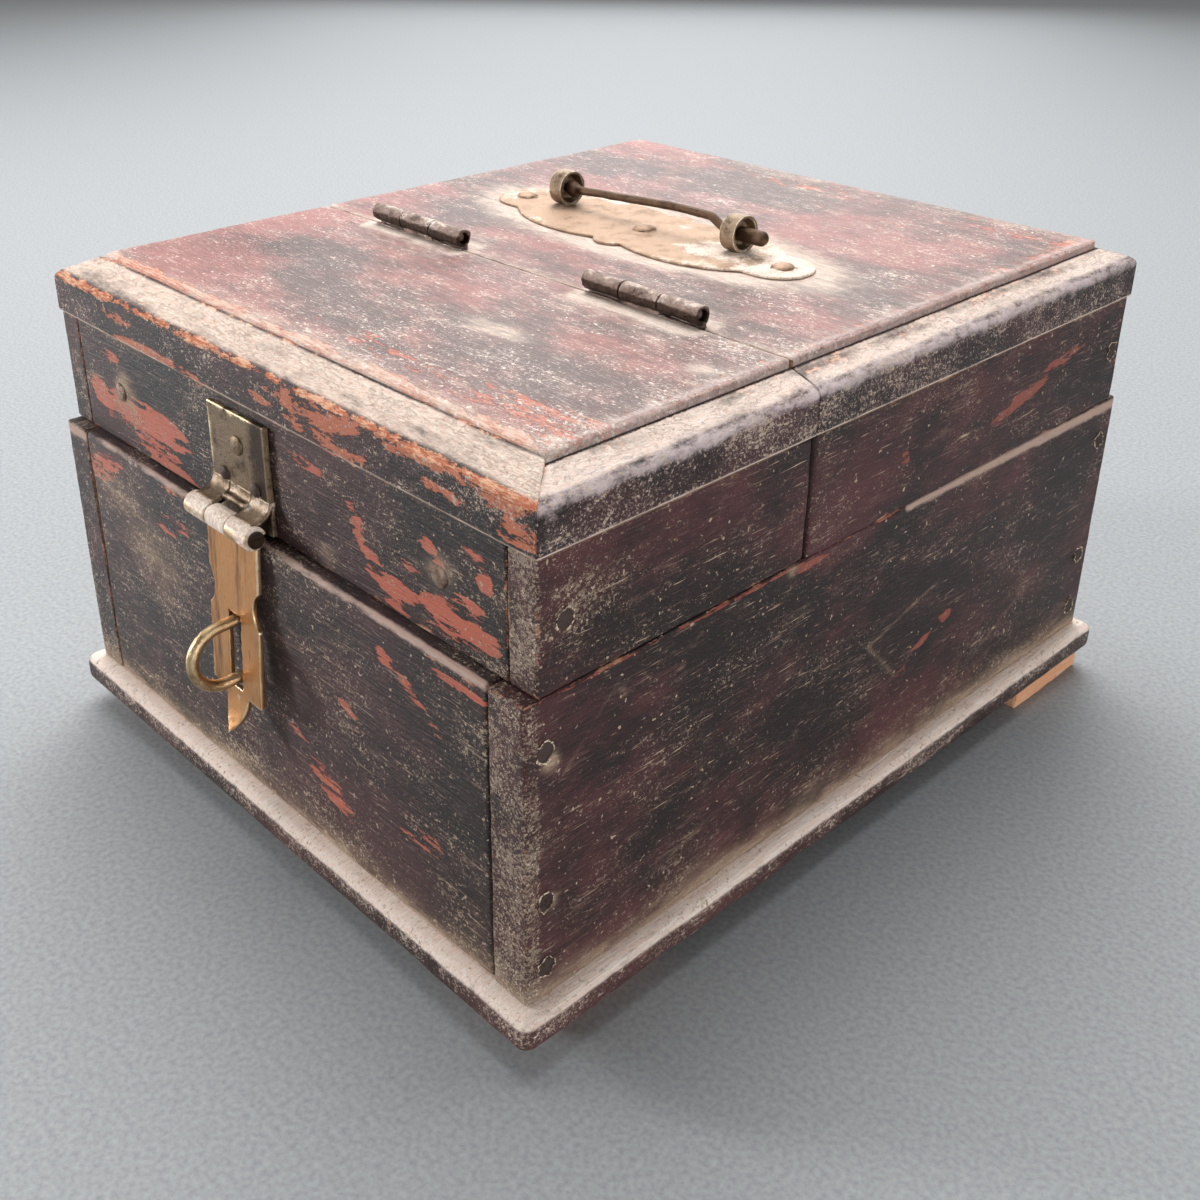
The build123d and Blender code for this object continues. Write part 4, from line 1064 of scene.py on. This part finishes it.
# %% Brass, bronze and iron
# The strap is rubbed by every opening: warm brass, polished up and down.
strap_brass = old_metal("warm_strap_brass", ("#f4dfbd", "#c89260", "#6f4c34"), 0.3, 0.36, 0.0,
                        brushed=(1.0, 1.0, 0.07), relief=0.08)
# Knuckles and staple: brass bright where fingers and the padlock touch it.
worn_brass = old_metal("polished_old_brass", ("#fff2dc", "#ecd6b8", "#b0946f"), 0.2, 0.42, 0.1, dirt=0.95)
ring_brass = old_metal("staple_brass", ("#fbe9c8", "#cdb18a", "#7d6546"), 0.25, 0.32, 0.1)
# The plates: brass gone brown, and on the handle's plate dull under cream dust.
plate_brass = old_metal("tarnished_plate_brass", ("#f6ddb2", "#84715c", "#3d3027"), 0.45, 0.42, 0.4)
dusty_brass = old_metal("dusty_handle_plate", ("#dfcab7", "#ae947f", "#8a735f"), 0.7, 0.62, 0.25)
# Wrought iron: grey-brown with a dry scab, and darker still where lacquer covers a nail.
iron = old_metal("old_hinge_iron", ("#f4e7e0", "#907d73", "#42342d"), 0.06, 0.38, 0.4, relief=0.45)
nail_iron = old_metal("lacquered_nail_iron", ("#8d7a6c", "#5e4e48", "#453834"), 0.5, 0.6, 1.2)
dusty_iron = old_metal("dusty_nail_iron", ("#cdb9ac", "#9b8679", "#6a5648"), 0.4, 0.6, 0.7, relief=0.4)
# Cast bronze posts, a dark iron pin, painted darker still as painted shade because its end sits sunk in
# the hasp's roll, and a rod browned by the hand.
bronze = old_metal("dark_post_bronze", ("#f8e8d0", "#94806b", "#44362b"), 0.24, 0.36, 0.2, relief=0.3)
pin_dark = old_metal("dark_hasp_pin", ("#8a735c", "#44362b", "#221a15"), 0.8, 0.5, 0.6)
rod_iron = old_metal("brown_rod_iron", ("#b79c80", "#644f3f", "#35261c"), 0.6, 0.42, 0.3, relief=0.3)
print("metal finishes made")

# %% [markdown]
# ## Hand-made metal
#
# The frame's hardware is exact, and exact is not how a village smith's brass looks. `hand_worked` takes
# a copy of a CAD piece, rebuilds its skin from fine cubes, smooths that, and lets it drift a little, so
# its edges are soft and its faces slightly hammered. Copying first keeps the frame untouched.


# %% Rework a CAD piece
def vertex_rows(mesh, name, kind):
    """One row of three numbers per vertex: its place (co) or its normal."""
    flat = np.empty(len(mesh.vertices) * 3, kind)
    mesh.vertices.foreach_get(name, flat)
    return flat.reshape(-1, 3)


def settled_mesh(made):
    """The object's mesh with its modifiers applied, and the object keeps that mesh alone."""
    result = bpy.data.meshes.new_from_object(made.evaluated_get(bpy.context.evaluated_depsgraph_get()))
    made.modifiers.clear()
    made.data = result
    return result


def hand_worked(node, body, material, voxel, seed, hammer=0.12, soften=3, dust=None, rub=None):
    """A softened, slightly uneven copy of a CAD node that replaces it."""
    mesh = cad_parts[node].data.copy()
    mesh.name = node + "_worked"
    edit = bmesh.new()
    edit.from_mesh(mesh)
    bmesh.ops.remove_doubles(edit, verts=edit.verts, dist=1e-6)
    edit.to_mesh(mesh)
    edit.free()
    mesh.materials.clear()
    made = bpy.data.objects.new(node + "_worked", mesh)
    scene.collection.objects.link(made)
    remesh = made.modifiers.new("skin", "REMESH")
    remesh.mode = "VOXEL"
    remesh.voxel_size = voxel * mm
    smooth = made.modifiers.new("soften", "SMOOTH")
    smooth.iterations = soften
    smooth.factor = 0.5
    settled = settled_mesh(made)
    points = vertex_rows(settled, "co", float)
    normals = vertex_rows(settled, "normal", np.float32)
    blows = 0.7 * drift(points, 3.2 * mm, seed) + 0.3 * drift(points, 1.1 * mm, seed + 1) - 0.6
    points += normals * (hammer * mm * blows)[:, None]
    settled.vertices.foreach_set("co", points.ravel())
    settled.update()
    edge = sharpness(settled, points, normals)
    set_marks(settled, {
        "edge": np.maximum(edge, rub(points)) if rub else edge,
        "dust": dust(points) if dust else np.zeros(len(points)),
    })
    settled.shade_smooth()
    settled.materials.append(material)
    return hand_over(made, body, [node])


def sharpness(mesh, points, normals):
    """How strongly the surface bends outwards at each point, 0 to 1: the edges that get rubbed."""
    ends = np.empty(len(mesh.edges) * 2, np.int64)
    mesh.edges.foreach_get("vertices", ends)
    a, b = ends.reshape(-1, 2).T
    way = points[b] - points[a]
    way /= np.maximum(np.linalg.norm(way, axis=1, keepdims=True), 1e-9)
    bend = np.zeros(len(points))
    count = np.zeros(len(points))
    np.add.at(bend, a, -(way * normals[a]).sum(1))
    np.add.at(bend, b, (way * normals[b]).sum(1))
    np.add.at(count, a, 1)
    np.add.at(count, b, 1)
    bend /= np.maximum(count, 1)
    for _ in range(2):
        spread = np.zeros(len(points))
        np.add.at(spread, a, bend[b])
        np.add.at(spread, b, bend[a])
        bend = 0.4 * bend + 0.6 * spread / np.maximum(count, 1)
    return np.clip(bend * 5, 0, 1)


print("vertices of the staple in the frame:", len(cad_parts["staple"].data.vertices))

# %% [markdown]
# ### Where the fittings are rubbed and dusty
#
# The strap's rolled end shines, because a thumb pushes there. Dust lies on the strap's roll and tongue,
# and on the handle's plate, where no cloth gets between the posts.

# %% Fittings
hasp_x, hasp_axis = -6.3, (-111.75, 95.8)


def strap_rub(points):
    """Where the strap is polished: round its rolled end."""
    away = np.hypot(points[:, 1] / mm - hasp_axis[0], points[:, 2] / mm - hasp_axis[1])
    return ramp(-away, -4.2, -3.2)


def plate_dust(points):
    """Dust lies on the handle's plate, thickest at its near edge and round the posts' feet."""
    x, y = points[:, 0] / mm, points[:, 1] / mm
    rim = ramp(np.hypot((x - plate_middle[0]) / 57, (y - plate_middle[1]) / 18), 0.75, 1.0)
    feet = sum(near(points, (c, 28, 140), 9) for c in (-38, 28))
    right_end = ramp(x, 30, 44)
    below_post = near(points, (23, 23, 140), 9)
    thickest = 0.4 * rim + 0.3 * feet + 0.8 * below_post + 0.9 * right_end
    return 0.4 + thickest + 0.25 * drift(points, 9 * mm, 171)


def strap_dust(points):
    """Dust lies along the top of the strap's rolled end and on its tongue."""
    z = points[:, 2] / mm
    on_roll = strap_rub(points) * ramp(z, 92.6, 95.4) * (1.5 + 0.2 * drift(points, 3 * mm, 173))
    return on_roll + 0.55 * ramp(-z, -49.2, -47.6)


settled_dust = {"handle_plate": plate_dust, "hasp_strap": strap_dust}
for node, body, material, slot, voxel, seed in (
    ("hasp_pin", "lid", pin_dark, "brass", 0.2, 123),
    ("hasp_strap", "hasp", strap_brass, "brass", 0.28, 125),
    ("staple", "carcass", ring_brass, "brass", 0.25, 127),
    ("handle_plate", "carcass", dusty_brass, "brass", 0.3, 129),
    ("handle_post_left", "carcass", bronze, "brass", 0.22, 131),
    ("handle_post_right", "carcass", bronze, "brass", 0.22, 133),
    ("handle_rod", "handle", rod_iron, "old_iron", 0.25, 135),
):
    rub = strap_rub if node == "hasp_strap" else None
    made = hand_worked(node, body, material, voxel, seed, dust=settled_dust.get(node), rub=rub)
    print(node, len(made.data.polygons), "faces")

# %% [markdown]
# ## Nails
#
# A nail head is the same small shape many times over, so Geometry Nodes make them: one tree, with inputs
# for the head's size, sets a flattened ball on each nail place, turns it to face out of the board, and
# dents it with noise after the copies are made real, so each head is dented differently. Rolled knuckles
# and rings of dust need trees that start and end alike, so those steps are functions.


# %% What the trees share
def points_tree(name, sizes):
    """A new tree that takes points, these sizes in metres and a Finish; returns it and its inputs."""
    tree = bpy.data.node_groups.new(name, "GeometryNodeTree")
    tree.is_modifier = True
    face = tree.interface
    face.new_socket("Geometry", in_out="INPUT", socket_type="NodeSocketGeometry")
    for size, value in sizes.items():
        face.new_socket(size, in_out="INPUT", socket_type="NodeSocketFloat").default_value = value
    face.new_socket("Finish", in_out="INPUT", socket_type="NodeSocketMaterial")
    face.new_socket("Geometry", in_out="OUTPUT", socket_type="NodeSocketGeometry")
    return tree, add(tree, "NodeGroupInput").outputs


def set_on_points(tree, given, shape):
    """Real copies of a shape on the given points, each with its Z along its point's out attribute."""
    out = add(tree, "GeometryNodeInputNamedAttribute", {"Name": "out"}, data_type="FLOAT_VECTOR").outputs[0]
    turned = add(tree, "FunctionNodeAlignRotationToVector", {"Vector": out}, axis="Z").outputs[0]
    copies = add(
        tree,
        "GeometryNodeInstanceOnPoints",
        {"Points": given["Geometry"], "Instance": shape, "Rotation": turned},
    ).outputs[0]
    return add(tree, "GeometryNodeRealizeInstances", {"Geometry": copies}).outputs[0]


def dents(tree, given, scale, detail):
    """An offset in or out of the surface, mostly in, up to about the tree's Dent."""
    wobble = add(tree, "ShaderNodeTexNoise", {"Scale": scale, "Detail": detail}).outputs[0]
    lowered = add(tree, "ShaderNodeMath", {0: wobble, 1: 0.62}, operation="SUBTRACT").outputs[0]
    depth = add(tree, "ShaderNodeMath", {0: lowered, 1: given["Dent"]}, operation="MULTIPLY").outputs[0]
    normal = add(tree, "GeometryNodeInputNormal").outputs[0]
    return add(tree, "ShaderNodeVectorMath", {0: normal, "Scale": depth}, operation="SCALE").outputs[0]


def finished(tree, given, shape, offset):
    """Ends a tree: moves the shape's points by the offset and gives it its Finish."""
    moved = add(tree, "GeometryNodeSetPosition", {"Geometry": shape, "Offset": offset}).outputs[0]
    done = add(tree, "GeometryNodeSetMaterial", {"Geometry": moved, "Material": given["Finish"]}).outputs[0]
    smooth = add(tree, "GeometryNodeSetShadeSmooth", {0: done}).outputs[0]
    add(tree, "NodeGroupOutput", {"Geometry": smooth})
    return tree


def grown(name, places, tree, settings, body, nodes=()):
    """Runs a tree on points (place and outward direction, in mm) and keeps the result as a plain mesh."""
    mesh = bpy.data.meshes.new(name)
    mesh.from_pydata([tuple(c * mm for c in place) for place, _ in places], [], [])
    out = mesh.attributes.new("out", "FLOAT_VECTOR", "POINT")
    out.data.foreach_set("vector", [c for _, way in places for c in way])
    made = bpy.data.objects.new(name, mesh)
    scene.collection.objects.link(made)
    maker = made.modifiers.new("maker", "NODES")
    maker.node_group = tree
    for item in tree.interface.items_tree:
        if item.in_out == "INPUT" and item.name in settings:
            maker[item.identifier] = settings[item.name]
    settled_mesh(made)
    return hand_over(made, body, nodes)


print("a tree takes points and gives back one mesh for each batch")

# %% [markdown]
# ### The nail's own tree
#
# The ball is squashed to the head's radius and height before it is copied, and half of it sinks into the
# board, which leaves the low dome that a hammer leaves.


# %% The nail tree
def nail_tree():
    """Geometry Nodes: a dented dome on each point, facing along the point's out attribute."""
    tree, given = points_tree("nail_heads", {"Radius": 2.4 * mm, "Height": 0.5 * mm, "Dent": 0.2 * mm})
    ball = add(tree, "GeometryNodeMeshUVSphere", {"Segments": 28, "Rings": 16, "Radius": 1.0}).outputs[0]
    size = add(tree, "ShaderNodeCombineXYZ", {0: given["Radius"], 1: given["Radius"], 2: given["Height"]})
    dome = add(tree, "GeometryNodeTransform", {"Geometry": ball, "Scale": size.outputs[0]}).outputs[0]
    return finished(tree, given, set_on_points(tree, given, dome), dents(tree, given, 420.0, 2.0))


heads = nail_tree()
print("nail tree inputs:", [item.name for item in heads.interface.items_tree if item.in_out == "INPUT"])

# %% [markdown]
# ## Rolled knuckles
#
# Both the hinges and the hasp are sheet metal whose edge was rolled round a pin. A rolled knuckle is a
# thick strip bent nearly full circle, so it has a seam and open ends, which a plain cylinder hasn't. The
# tree sweeps a rectangle, as thick as the sheet and as long as the knuckle, round an arc that stops
# short of closing. Its Roll and Start are angles in radians.


# %% The knuckle tree
def knuckle_tree():
    """Geometry Nodes: a rolled tube on each point, with its axis along the point's out attribute."""
    tree, given = points_tree("rolled_knuckles", {
        "Radius": 2.5 * mm, "Wall": 0.9 * mm, "Length": 12 * mm, "Roll": 5.9, "Start": 0.0,
        "Dent": 0.2 * mm,
    })
    middle = add(
        tree, "ShaderNodeMath", {0: given["Wall"], 1: -0.5, 2: given["Radius"]}, operation="MULTIPLY_ADD"
    ).outputs[0]
    arc = add(
        tree,
        "GeometryNodeCurveArc",
        {"Resolution": 56, "Radius": middle, "Start Angle": given["Start"], "Sweep Angle": given["Roll"]},
        mode="RADIUS",
    ).outputs[0]
    strip = add(
        tree,
        "GeometryNodeCurvePrimitiveQuadrilateral",
        {"Width": given["Wall"], "Height": given["Length"]},
        mode="RECTANGLE",
    ).outputs[0]
    fine = add(tree, "GeometryNodeResampleCurve", {"Curve": strip, "Count": 72}, mode="COUNT").outputs[0]
    tube = add(
        tree, "GeometryNodeCurveToMesh", {"Curve": arc, "Profile Curve": fine, "Fill Caps": True}
    ).outputs[0]
    return finished(tree, given, set_on_points(tree, given, tube), dents(tree, given, 380.0, 3.0))


rolled = knuckle_tree()
print("knuckle tree inputs:", [item.name for item in rolled.interface.items_tree if item.in_out == "INPUT"])

# %% [markdown]
# ### Dust round a nail
#
# Lacquer shrinks back from an iron nail and wax and dust fill the gap, so an old nail shows as a pale
# ring with a dark middle. The ring is a thin bead swept round a circle, roughened by noise.


# %% The ring tree
def ring_tree():
    """Geometry Nodes: a flat, uneven bead of dust round each point."""
    tree, given = points_tree("dust_rings", {"Radius": 2.7 * mm, "Bead": 0.3 * mm, "Wander": 2.0 * mm})
    circle, bead = (
        add(
            tree, "GeometryNodeCurvePrimitiveCircle", {"Resolution": count, "Radius": given[size]}
        ).outputs[0]
        for size, count in (("Radius", 64), ("Bead", 10))
    )
    ring = add(tree, "GeometryNodeCurveToMesh", {"Curve": circle, "Profile Curve": bead}).outputs[0]
    flat = add(tree, "GeometryNodeTransform", {"Geometry": ring, "Scale": (1.0, 0.9, 0.5)}).outputs[0]
    wobble = add(tree, "ShaderNodeTexNoise", {"Scale": 520.0, "Detail": 3.0}).outputs[1]
    centred = add(tree, "ShaderNodeVectorMath", {0: wobble, 1: (0.5, 0.5, 0.5)}, operation="SUBTRACT")
    shift = add(
        tree, "ShaderNodeVectorMath", {0: centred.outputs[0], "Scale": given["Wander"]}, operation="SCALE"
    ).outputs[0]
    return finished(tree, given, set_on_points(tree, given, flat), shift)


beads = ring_tree()
print("ring tree inputs:", [item.name for item in beads.interface.items_tree if item.in_out == "INPUT"])

# %% [markdown]
# ### Where the nails are
#
# Every nail is a place on a face, in millimetres, and the way its head looks. The boards are nailed
# through the sides, the base from below, and each hinge leaf has three nails that show only when the lid
# is open.

# %% Places of the nails
right, left, front, up, down, back = (1, 0, 0), (-1, 0, 0), (0, -1, 0), (0, 0, 1), (0, 0, -1), (0, 1, 0)
sides = ((box_side, right), (-box_side, left))
body_nails = [((x, y, z), way) for x, way in sides for y in (-102.95, 116.05) for z in (24, 42, 80)]
lid_side_nails = [((x, -97.75, 108.2), way) for x, way in sides]
rear_nails = [((x, 113.8, 108.2), way) for x, way in sides]
lid_front_nails = [((x, -104.95, 108.2), front) for x in (-66, 66)]
base_nails = [((x, y, 7.0), down) for x in (-89.5, 89.5) for y in (-86.45, 6.55, 99.55)]
plate_nails = [((hasp_x, -106.55, 113.3), front)]
small_plate_nails = [((x, -106.55, 104.2), front) for x in (-12.9, 0.3)]
handle_nails = [((x, 25.05, 140.1), up) for x in (-52, -3, 46)]
leaf_places = [centre + step for centre in (-hinge_x, hinge_x) for step in (-13, 0, 13)]
leaf_nails_lid = [((x, -23.25, 132.8), back) for x in leaf_places]
leaf_nails_rear = [((x, -22.65, 132.8), front) for x in leaf_places]
print("nails in the body's sides:", len(body_nails), "and in the hinge leaves:", 2 * len(leaf_places))

# %% [markdown]
# ### Nails and their rings
#
# The nails in the sides are nearly flush and their iron shows dark through the lacquer. Those on the
# lid's front and on the handle's plate stand out. Dust on wood is a dry crust, matt and crumbly.

# %% Nails and rings
dust_crust, tree, shader = fresh_material("dust_crust")
place = add(tree, "ShaderNodeTexCoord").outputs["Object"]
crumbs, _ = layer(tree, linear("#6b574a"), linear("#dcc6ad"), grains(tree, place, 1400.0, 3.0), -0.5, 0.5)
tree.links.new(crumbs, shader.inputs["Base Color"])
shader.inputs["Roughness"].default_value = 0.9
for name, body, places, radius, finish in (
    ("body", "carcass", body_nails + rear_nails, 2.6, dust_crust),
    ("lid", "lid", lid_side_nails, 2.6, dust_crust),
    ("plate", "carcass", handle_nails, 3.3, dusty_brass),
):
    settings = {"Radius": radius * mm, "Bead": 0.2 * mm, "Wander": 2.4 * mm, "Finish": finish}
    made = grown(f"dust_rings_{name}", places, beads, settings, body)
    print(made.name, len(made.data.polygons), "faces")
for name, places, radius, height, dent, finish, body, slot, nodes in (
    ("body", body_nails, 2.2, 0.15, 0.3, nail_iron, "carcass", "old_iron", ["body_nails"]),
    ("base", base_nails, 2.2, 0.1, 0.1, iron, "carcass", "old_iron", ["base_nails"]),
    ("rear", rear_nails, 2.2, 0.15, 0.3, nail_iron, "carcass", "old_iron", ["rear_nails"]),
    ("lid_side", lid_side_nails, 2.2, 0.15, 0.3, nail_iron, "lid", "old_iron", ["lid_nails"]),
    ("lid_front", lid_front_nails, 2.6, 0.75, 0.45, dusty_iron, "lid", "old_iron", ()),
    ("plate", plate_nails, 2.5, 0.85, 0.5, plate_brass, "lid", "brass", ["hasp_plate_nails"]),
    ("plate_low", small_plate_nails, 1.8, 0.95, 0.3, nail_iron, "lid", "brass", ()),
    ("handle", handle_nails, 3.0, 1.2, 0.4, dusty_brass, "carcass", "brass", ["handle_plate_nails"]),
    ("leaf_lid", leaf_nails_lid, 1.4, 0.1, 0.05, iron, "lid", "old_iron", ["hinge_lid_nails"]),
    ("leaf_rear", leaf_nails_rear, 1.4, 0.1, 0.05, iron, "carcass", "old_iron", ["hinge_rear_nails"]),
):
    settings = {"Radius": radius * mm, "Height": height * mm, "Dent": dent * mm, "Finish": finish}
    made = grown(f"nail_heads_{name}", places, heads, settings, body, nodes)
    print(made.name, len(places), "heads,", len(made.data.polygons), "faces")

# %% [markdown]
# ### Knuckles
#
# Each hinge has three knuckles: the outer two belong to the fixed half, the middle one to the lid. Dust
# settles on a knuckle's top, where the same mark also lays a painted highlight, and its underside gets
# painted shade, so its marks go by how high a point lies on it.

# %% Knuckles of the hinges
hinge_axis, hinge_length = (cut_y, 142.3), 38.0
pitch = hinge_length / 3


def knuckles(name, places, radius, wall, length, start, dent, finish, body):
    """Rolled knuckles, sizes in millimetres and the seam in radians; dust with painted highlight on top,
    painted shade beneath.
    """
    settings = {"Radius": radius * mm, "Wall": wall * mm, "Length": length * mm, "Start": start,
                "Dent": dent * mm, "Finish": finish}
    made = grown(name, places, rolled, settings, body)
    axis_height = places[0][0][2]
    above = (vertex_rows(made.data, "co", float)[:, 2] / mm - axis_height) / radius
    set_marks(made.data, {"dust": 0.78 * ramp(above, 0.4, 0.95), "painted_shade": 1.3 * ramp(-above, -0.6, 0.1)})
    print(name, len(places), "knuckles,", len(made.data.polygons), "faces")


for body, steps in (("lid", (0,)), ("carcass", (-1, 1))):
    places = [((c + step * pitch, *hinge_axis), right) for c in (-hinge_x, hinge_x) for step in steps]
    knuckles(f"hinge_knuckles_{body}", places, 2.5, 1.0, pitch - 0.35, 0.35, 1.2, iron, body)

# %% [markdown]
# ### Leaves and pins
#
# The leaves are thin blocks with worn edges, let into the saw cut, with a narrow neck up to each knuckle.
# A pin runs through all three knuckles, and its ends are filed to a slight cone.

# %% Leaves and pins
leaf_low, leaf_high, neck_low, neck_high, leaf_thickness, pin_radius = 126.3, 139.5, 139.0, 140.7, 1, 1.05
for side, centre in (("left", -hinge_x), ("right", hinge_x)):
    ends = (centre - hinge_length / 2, centre + hinge_length / 2)
    for body, label, y_low, steps in (("lid", "lid", -24.25, (0,)), ("carcass", "rear", -22.65, (-1, 1))):
        y_high = y_low + leaf_thickness
        low, high = np.array((ends[0], y_low, leaf_low)) * mm, np.array((ends[1], y_high, leaf_high)) * mm
        points, faces, marks = worn_block(low, high, 1.5 * mm, 0.25 * mm, 151)
        node = f"hinge_{side}_{label}_leaf"
        piece(node + "_dressed", points, faces, marks, iron, body, [node])
        for step in steps:
            x = centre + step * pitch
            low = np.array((x - pitch / 2 + 0.2, y_low, neck_low)) * mm
            high = np.array((x + pitch / 2 - 0.2, y_high, neck_high)) * mm
            points, faces, marks = worn_block(low, high, 0.8 * mm, 0.2 * mm, 153)
            piece(f"hinge_{side}_{label}_neck_{step + 1}", points, faces, marks, iron, body)
    ring = np.array([(0.0, math.cos(t), math.sin(t)) for t in np.linspace(0, math.tau, 25)[:-1]])
    stops = (ends[0] + 1.3, ends[0] + 1.5, centre, ends[1] - 1.5, ends[1] - 1.3)
    rings = [
        (ring * pin_radius * grow + (x, *hinge_axis)) * mm for x, grow in zip(stops, (0.85, 1, 1, 1, 0.85))
    ]
    points, faces = skinned(rings)
    name, node = f"hinge_{side}_pin_worn", f"hinge_{side}_pin"
    face_out(piece(name, points, faces, {}, iron, "carcass", [node]))
print("hinges dressed, pitch", round(pitch, 2), "mm")

# %% [markdown]
# ### The hasp's plate
#
# The plate is flat brass, and its lower edge comes forward in ears that roll into its knuckles, either
# side of the strap's own, with a short lip between them. A bent sheet is drawn as the middle line of its
# bend, thickened to both sides and carried across its width.

# %% The hasp's plate
low, high = np.array((-18.55, -106.55, 93.8)) * mm, np.array((5.95, -104.95, 121.3)) * mm
points, faces, marks = worn_block(low, high, 0.7 * mm, 0.35 * mm, 161, unevenness=0.6)
marks["edge"] = marks.pop("arris")
lower_half = ramp(-points[:, 2] / mm, -106.5, -100.5)
around = sum(near(points, (x, -106.5, z), 3.2) for x, z in ((hasp_x, 112), (-12.9, 103), (0.3, 103)))
marks["dust"] = 0.75 * lower_half + 0.35 * around
across = points[:, 0] / mm
# Painted shadow right of the strap: the rubbed edge is dimmed there and the crust colour is laid over the
# plate.
marks["edge"] *= 1 - 0.7 * ramp(across, 2.0, 5.0)
marks["painted_shade"] = 1.1 * ramp(across, -5.0, 3.0) * ramp(-across, -5.4, -4.8)
piece("hasp_plate_dressed", points, faces, marks, plate_brass, "lid", ["hasp_plate"])


def bent_outline(path, thickness):
    """The outline of a bent sheet from the points of its middle line, in a plane."""
    path = np.array(path)
    way = np.gradient(path, axis=0)
    way /= np.linalg.norm(way, axis=1, keepdims=True)
    side = np.stack([-way[:, 1], way[:, 0]], axis=1) * thickness / 2
    return np.concatenate([path + side, (path - side)[::-1]])


bend = [((1 - t) ** 2, 2 * t * (1 - t), t**2) for t in np.linspace(0, 1, 18)]
for name, x_low, x_high, reach, drop in (
    ("left", -18.55, -10.95, -111.75, 98.1), ("middle", -10.95, -1.65, -108.9, 99.8),
    ("right", -1.65, 5.95, -111.75, 98.1),
):
    path = [(a * -105.75 + b * -105.9 + c * reach, a * 102.6 + b * 98.6 + c * drop) for a, b, c in bend]
    sheet = bent_outline(path, 1.5)
    rings = [
        np.stack([np.full(len(sheet), x), sheet[:, 0], sheet[:, 1]], axis=1) * mm
        for x in np.linspace(x_low, x_high, 12)
    ]
    points, faces = skinned(rings)
    points += (0.1 * mm * drift(points, 2.2 * mm, 163))[:, None]
    ear_dust = {"dust": 0.65 + 0.25 * drift(points, 3 * mm, 165)}
    face_out(piece(f"hasp_ear_{name}", points, faces, ear_dust, plate_brass, "lid"))
places = [((hasp_x + step * 9.0, *hasp_axis), right) for step in (-1, 1)]
knuckles("hasp_knuckles", places, 3.0, 1.5, 8.7, 1.75, 0.25, worn_brass, "lid")
